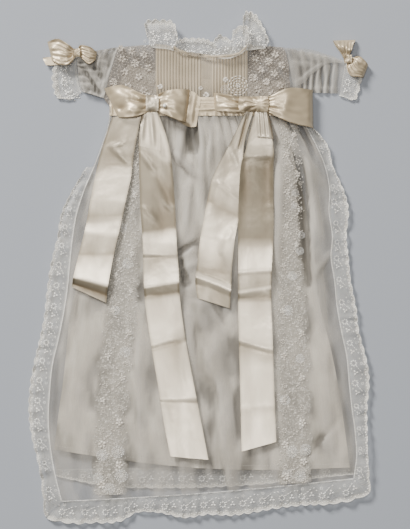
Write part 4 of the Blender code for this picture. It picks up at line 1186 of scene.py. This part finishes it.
def lay_panels():
    """Skirt back, bodice backs and sleeve backs, which rest on the floor."""
    sections = [
        (left_x - BACK_OVERLAP, left_y, right_x + BACK_OVERLAP, right_y)
        for left_x, left_y, right_x, right_y in SKIRT_SECTIONS[:15]
    ]
    lay_cloth("skirt_back", loft(sections + [BACK_HEM]))
    for side, outline in (
        ("left", bodice_side(ARMHOLE_LEFT, -0.5, BACK_NECK_Y, 248, -130)),
        ("right", bodice_side(ARMHOLE_RIGHT, 0.5, BACK_NECK_Y, 257, 137)),
    ):
        def place(across, along, outline=outline):
            x, y = outline(across, along)
            return x, y + SHOULDER_RISE * np.sin(math.pi * across) * (1 - along) ** 2

        lay_cloth(f"bodice_back_{side}", place)
    for side, armhole, cuff, seam_gap in (
        ("left", ARMHOLE_LEFT, CUFF_LEFT, -0.4), ("right", ARMHOLE_RIGHT, CUFF_RIGHT, 0.4),
    ):
        sections = [
            (arm_x + seam_gap, arm_y, cuff_x, cuff_y)
            for (arm_x, arm_y), (cuff_x, cuff_y) in zip(armhole, cuff)
        ]

        def gathers(across, along, seed=len(side)):
            folds = waves(7 * across + 0.25 * unevenly(across + 0.3 * along, seed))
            return 1.7 * (1 + folds) * np.minimum(1, np.minimum(4 * across, 3 * (1.05 - across)))

        lay_cloth(f"sleeve_back_{side}", loft(sections), gathers)


def lay_small_laces(*nodes):
    for node in nodes:
        plan = lace_edge(loft(SMALL_LACE_SECTIONS[node]), 8, 0.08)
        lay_cloth(node, plan, share_at=close_edge)
        sew_lace(node, plan, 22.0, 30.0)


def hem_point(hem, sag, lift, share):
    """A place along a hem that sags in its middle."""
    left_x, left_y, right_x, right_y = hem
    x = left_x + (right_x - left_x) * share
    return x, left_y + (right_y - left_y) * share - sag * math.sin(math.pi * share) + lift


def front_hem(share):
    return hem_point(SKIRT_SECTIONS[-1], HEM_SAG, -SEAM_GAP, share)


def back_hem(share):
    return hem_point(BACK_HEM, 0, -SEAM_GAP, share)


def lace_plan(reach_rows, seam_at, by_share=False):
    """Plan of a lace edging from its seam line and from how far it stands out."""
    sections = []
    for position, out, down in reach_rows:
        x, y = seam_at(position)
        sections.append((x, y, x + out, y + down))
    return loft(sections, [row[0] for row in reach_rows] if by_share else None)


def lay_back_lace():
    plan = lace_edge(lace_plan(BACK_LACE_REACH, back_hem, True), 30, 0.06)
    lay_cloth("back_hem_lace", plan, share_at=close_edge)
    sew_lace("back_hem_lace", plan)


def lay_slip():
    for node, inset in (("slip_back", SLIP_BACK_INSET), ("slip_front", 0.0)):
        outline = loft([
            (left_x + inset, left_y, right_x - inset, right_y)
            for left_x, left_y, right_x, right_y in SLIP_SECTIONS
        ])

        def place(across, along, outline=outline, inset=inset):
            x, y = outline(across, along)
            sag = np.sin(math.pi * across)
            return x, y - SLIP_NECK_SAG * sag * (1 - along) ** 4 - (SLIP_HEM_SAG * sag - inset) * along ** 6

        def hang(across, along, place=place):
            x, y = place(across, along)
            return 4.5 * crumple(1.4 * x, 0.5 * y, 4, 58.0) * np.minimum(1, 4 * along)

        lay_cloth(node, place, hang if node == "slip_front" else None)
    line = [hem_point(SLIP_SECTIONS[-1], SLIP_HEM_SAG, 6, share) for share in np.linspace(0.005, 0.995, 24)]
    whip_seam("slip_hem_stitches", line, 4.0, 2.2, SEWING_THREAD, 0.0)


def lay_skirt_front():
    """The gathered skirt: close gathers that fade below the waist, long folds down it, and soft crumples."""
    outline = loft(SKIRT_SECTIONS)

    def place(across, along):
        x, y = outline(across, along)
        return x, y - HEM_SAG * np.sin(math.pi * across) * np.maximum(0.0, 16 * along - 15)

    def folds(across, along):
        x, y = place(across, along)
        drift = across + 0.012 * 0.12 * unevenly(along, 3)
        gathers = 1.6 * (1 + waves(WAIST_GATHERS * drift + 0.35 * unevenly(across, 1)))
        fine = 0.6 * (1 + waves(2.6 * WAIST_GATHERS * drift + 0.8 * unevenly(across, 2)))
        long = 1.0 * (1 + waves(9.5 * across + 0.6 * unevenly(across + 0.1 * along, 5)))
        return (
            gathers * np.exp(-(along / 0.16) ** 2) + fine * np.exp(-(along / 0.22) ** 2)
            + long * np.minimum(1, 5 * along) * (1 - 0.4 * along) + 2.4 * crumple(1.3 * x, 0.6 * y, 2, 60.0)
        )

    lay_cloth("skirt_front", place, folds)


def lay_bodice():
    """The tucked front, the two embroidered yokes and the fronts of the sleeves."""
    necks_x, necks_y = zip(*NECKLINE)

    def front(across, along):
        x = FRONT_LEFT + SEAM_GAP + (FRONT_RIGHT - FRONT_LEFT - 2 * SEAM_GAP) * across
        return x, np.interp(x, necks_x, necks_y) * (1 - along) + WAIST_Y * along

    def tucks(across, along):
        x = front(across, along)[0]
        height = np.zeros_like(x)
        for start, end in TUCK_GROUPS:
            off = (x - start + 0.5 * TUCK_PITCH) % TUCK_PITCH - 0.5 * TUCK_PITCH
            inside = (x > start - 1) & (x < end + 1)
            side = np.where(off > 0, 0.5, 1.1)
            height += np.where(inside, TUCK_HEIGHT * np.exp(-(off / side) ** 2), 0.0)
        return height * np.minimum(1, 6 * (1.02 - along))

    lay_cloth("bodice_front", front, tucks)
    for node, plan in (
        ("yoke_left", bodice_side(ARMHOLE_LEFT, FRONT_LEFT, 326, 250, -130)),
        ("yoke_right", bodice_side(ARMHOLE_RIGHT, FRONT_RIGHT, 326, 257, 137)),
    ):
        lay_cloth(node, plan, share_at=evenly(1))
        sew_yoke(node, plan)
    sew_bodice_sprays()

    def sleeve_folds(across, along):
        folds = waves(6 * along + 0.4 * unevenly(along + 0.5 * across, 4))
        return 0.8 * (1 + folds) * across + 1.5 * crumple(60 * across, 60 * along, 2, 16.0)

    sections = [
        (arm_x - 0.4, arm_y, cuff_x + 2, cuff_y)
        for (arm_x, arm_y), (cuff_x, cuff_y) in zip(ARMHOLE_LEFT, CUFF_LEFT)
    ]
    lay_cloth("sleeve_front_left", loft(sections), sleeve_folds)
    lay_cloth("sleeve_front_right", loft(RIGHT_CAP_SECTIONS))


def lay_side_laces():
    def left_edge(section):
        x, y = SKIRT_SECTIONS[section][:2]
        return x - 0.4, y

    def right_edge(section):
        x, y = SKIRT_SECTIONS[section][2:]
        return x + 0.4, y

    for node, plan, scallops in (
        ("side_lace_left", lace_plan(LEFT_LACE_REACH, left_edge), 34),
        ("side_lace_right", lace_plan(RIGHT_LACE_REACH, right_edge), 38),
        ("hem_lace", lace_plan(HEM_LACE_REACH, front_hem, True), 32),
    ):
        plan = lace_edge(plan, scallops, 0.07)

        def ruffle(across, along, count=0.9 * scallops, seed=scallops):
            swing = waves(count * along + 0.9 * unevenly(along, seed) + 0.12 * across)
            return 1.5 * (1 + swing) * (0.4 + 0.6 * across) * (0.6 + 0.4 * unevenly(3 * along, seed))

        lay_cloth(node, plan, ruffle, close_edge)
        sew_lace(node, plan)
    whip_seam("left_seam_cord", [section[:2] for section in SKIRT_SECTIONS])
    whip_seam("right_seam_cord", [section[2:] for section in SKIRT_SECTIONS])
    whip_seam("hem_seam_cord", [front_hem(share) for share in np.linspace(0, 1, 20)])


def lay_bands():
    for node, sections in BAND_SECTIONS.items():
        outline = loft(sections)

        def scalloped(across, along, outline=outline):
            x, y = outline(across, along)
            return x + 2.0 * (2 * across - 1) * waves(12 * along), y

        def worked(across, along, node=node):
            bare = BAND_SHIFT[node] * np.clip(1 - along / 0.5, 0, 1)
            ragged = 0.06 * np.sin(61 * along) + 0.04 * np.sin(173 * along)
            from_left = np.clip((across - bare + ragged) / 0.16, 0, 1)
            return from_left * np.clip((1 - across + ragged) / 0.16, 0, 1)

        lay_cloth(node, scalloped, share_at=worked)
        sew_band(node, scalloped)
    roses = [(x, y, size, 0.3 * index) for index, (x, y, size) in enumerate(BAND_ROSES)]
    sew_on("band_roses", ROSE, roses, LACE_THREAD)


def lay_waist_and_neck():
    """The ribbon round the waist, and the binding rolled over the edge of the neck."""
    lay_cloth("sash", loft(((-130, 249, -130, 222), (137, 249, 137, 222))), share_at=evenly(0.5))

    def binding(across, along):
        x = BINDING_FROM_TO[0] + (BINDING_FROM_TO[1] - BINDING_FROM_TO[0]) * along
        return x, np.interp(x, *zip(*NECKLINE)) + 1.0 - BINDING_WIDTH * across

    def rolled(across, along):
        return 0.9 * np.sin(math.pi * across)

    lay_cloth("neck_binding", binding, rolled, area=540)


def pressed(name):
    """Height of a ribbon tail's pressed folds, and the painted highlight and shade of its satin: flat facets
    between slanting creases.
    """
    left_at, right_at, heights, painted_light_levels = zip(*TAIL_FOLDS[name])

    def between_creases(across, along, values):
        z = np.empty_like(along)
        for column in range(along.shape[1]):
            share = across[0, column]
            at = np.array(left_at) * (1 - share) + np.array(right_at) * share
            z[:, column] = np.interp(along[:, column], at, values)
        return z

    def relief(across, along):
        curl = 0.5 * (2 * across - 1) ** 4
        folds = FOLD_LIFT * between_creases(across, along, heights)
        return folds + curl + 0.25 * crumple(50 * across, 500 * along, len(name), 70.0)

    # The painted highlight and shade of the satin along the tail
    def pale(across, along):
        from_edge = np.minimum(across, 1 - across)
        # Painted shadow: the tail is darker along both its edges
        return between_creases(across, along, painted_light_levels) - 0.35 * np.exp(-(from_edge / 0.04) ** 2)

    return relief, pale


def lay_loop(name):
    """A ribbon loop: out from the knot, over at the far fold and back on top, pleated and crumpled where the
    knot holds it. The length of its name makes its crumples its own."""
    outline = loft(LOOP_SECTIONS[name])
    piece, across, along = start_grid(f"{name}_satin", 28, 80)
    steps = np.linspace(0, 1, len(LOOP_PROFILE))
    reach, top = (np.clip(line_through(steps, column)(along), 0, 1) for column in zip(*LOOP_PROFILE))
    x, y = outline(across, reach)
    low = ground_at(x, y) + LIE_GAP + RIBBON_WALL
    high = np.maximum(soften(top_of(name, x, y), (2, 2)), low + 1.0)
    pleats, depth, fade = LOOP_PLEATS.get(name, CUFF_LOOP_PLEATS)
    swing = waves(pleats * across + 0.3 * unevenly(across + 0.5 * reach, len(name)))
    dents = depth * (1 - reach) ** fade * swing + creases(name, x, y) + 1.5 * crumple(x, y, len(name), 13.0)
    z = soften(np.maximum(low * (1 - top) + (high + dents) * top, low), (1.2, 1.0))
    set_points(piece, x, y, z)
    width = 26 if "cuff" in name else 50
    set_cloth_map(piece, across, along, width, 2.1 * width)
    set_share(piece, PAINTED_SATIN_LIGHT, 0.5 + 0 * z)
    # Painted shade in the pleats and crumples of the loop's upper layer
    set_share(piece, PAINTED_SHADE_DEPTH, 0.6 * (soften(z, (3, 3)) - z) * top)
    apply_wall(piece, RIBBON_WALL, 0)
    raise_ground(x, y, z + RIBBON_WALL / 2)
    put_in(piece, AGED_SATIN, (name,))


def lay_knots():
    for name, (centre_x, centre_y, width, length, crown, wraps) in KNOTS.items():
        def place(across, along):
            swell = 1 + 0.1 * np.sin(math.pi * along)
            return centre_x + width * swell * (across - 0.5), centre_y - length * (along - 0.5)

        def dome(across, along):
            rounded = (1 - np.abs(2 * across - 1) ** 4) * (1 - np.abs(2 * along - 1) ** 4)
            if wraps < 3:
                lines = 0.35 * waves(wraps * across + 0.2 * unevenly(along, wraps))
            else:
                off_x, off_y = (across - 0.68) * width, (0.5 - along) * length
                rays = np.cos(11 * np.arctan2(off_y, off_x) + 2 * unevenly(across, 3))
                lines = 1.1 * rays * np.clip(np.hypot(off_x, off_y) / 7, 0, 1)
            return crown * rounded * 0.4 + lines

        lay_cloth(name, place, dome, evenly(0.5))


def add_bead():
    """The pearl bead on the left bow."""
    low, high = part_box("pearl_bead")
    centre = (low + high) / 2
    bpy.ops.mesh.primitive_uv_sphere_add(segments=32, ring_count=20, radius=BEAD_RADIUS * MM, location=centre)
    bead = bpy.context.object
    bead.name = bead.data.name = "pearl_bead_glass"
    bpy.ops.object.transform_apply(location=True, rotation=True, scale=True)
    bpy.ops.object.shade_smooth()
    put_in(bead, imitation_pearl(), ("pearl_bead",))


def add_floor_and_light():
    bpy.ops.mesh.primitive_plane_add(size=60, location=(0, 0, -0.0003))
    floor = bpy.context.object
    floor.name = "floor_board"
    floor.data.materials.append(floor_paint())
    for name, place, size, power in LIGHTS:
        light = bpy.data.lights.new(name, "AREA")
        light.shape = "SQUARE"
        light.size = size
        light.energy = power
        lamp = bpy.data.objects.new(name, light)
        bpy.context.scene.collection.objects.link(lamp)
        lamp.location = place
        lamp.rotation_euler = (-lamp.location).to_track_quat("-Z", "Y").to_euler()
    world = bpy.data.worlds.new("pale room")
    world.use_nodes = True
    world.node_tree.nodes["Background"].inputs["Color"].default_value = linear("#E4E6EA")
    world.node_tree.nodes["Background"].inputs["Strength"].default_value = 0.13
    bpy.context.scene.world = world


def add_camera():
    camera = bpy.data.cameras.new("photograph")
    camera.sensor_fit = "HORIZONTAL"
    camera.sensor_width = 36.0
    camera.lens = camera.sensor_width * CAMERA_HEIGHT / FRAME_WIDTH
    stand = bpy.data.objects.new("photograph", camera)
    bpy.context.scene.collection.objects.link(stand)
    stand.location = (*FRAME_CENTRE, CAMERA_HEIGHT + 0.01)
    bpy.context.scene.camera = stand


lay_panels()
lay_small_laces("cuff_lace_left", "cuff_lace_right")
lay_back_lace()
lay_slip()
lay_small_laces("neck_lace_back")
lay_skirt_front()
lay_bodice()
lay_side_laces()
lay_bands()
lay_small_laces("neck_lace_left", "neck_lace_right", "neck_lace_fold")
lay_waist_and_neck()
for tail, tail_sections in TAIL_SECTIONS.items():
    lay_cloth(tail, loft(tail_sections), *pressed(tail))
for ribbon_end, end_sections in RIBBON_END_SECTIONS.items():
    lay_cloth(ribbon_end, loft(end_sections), share_at=evenly(0.5))
for loop in LOOP_SECTIONS:
    lay_loop(loop)
lay_knots()
add_bead()
add_floor_and_light()
add_camera()
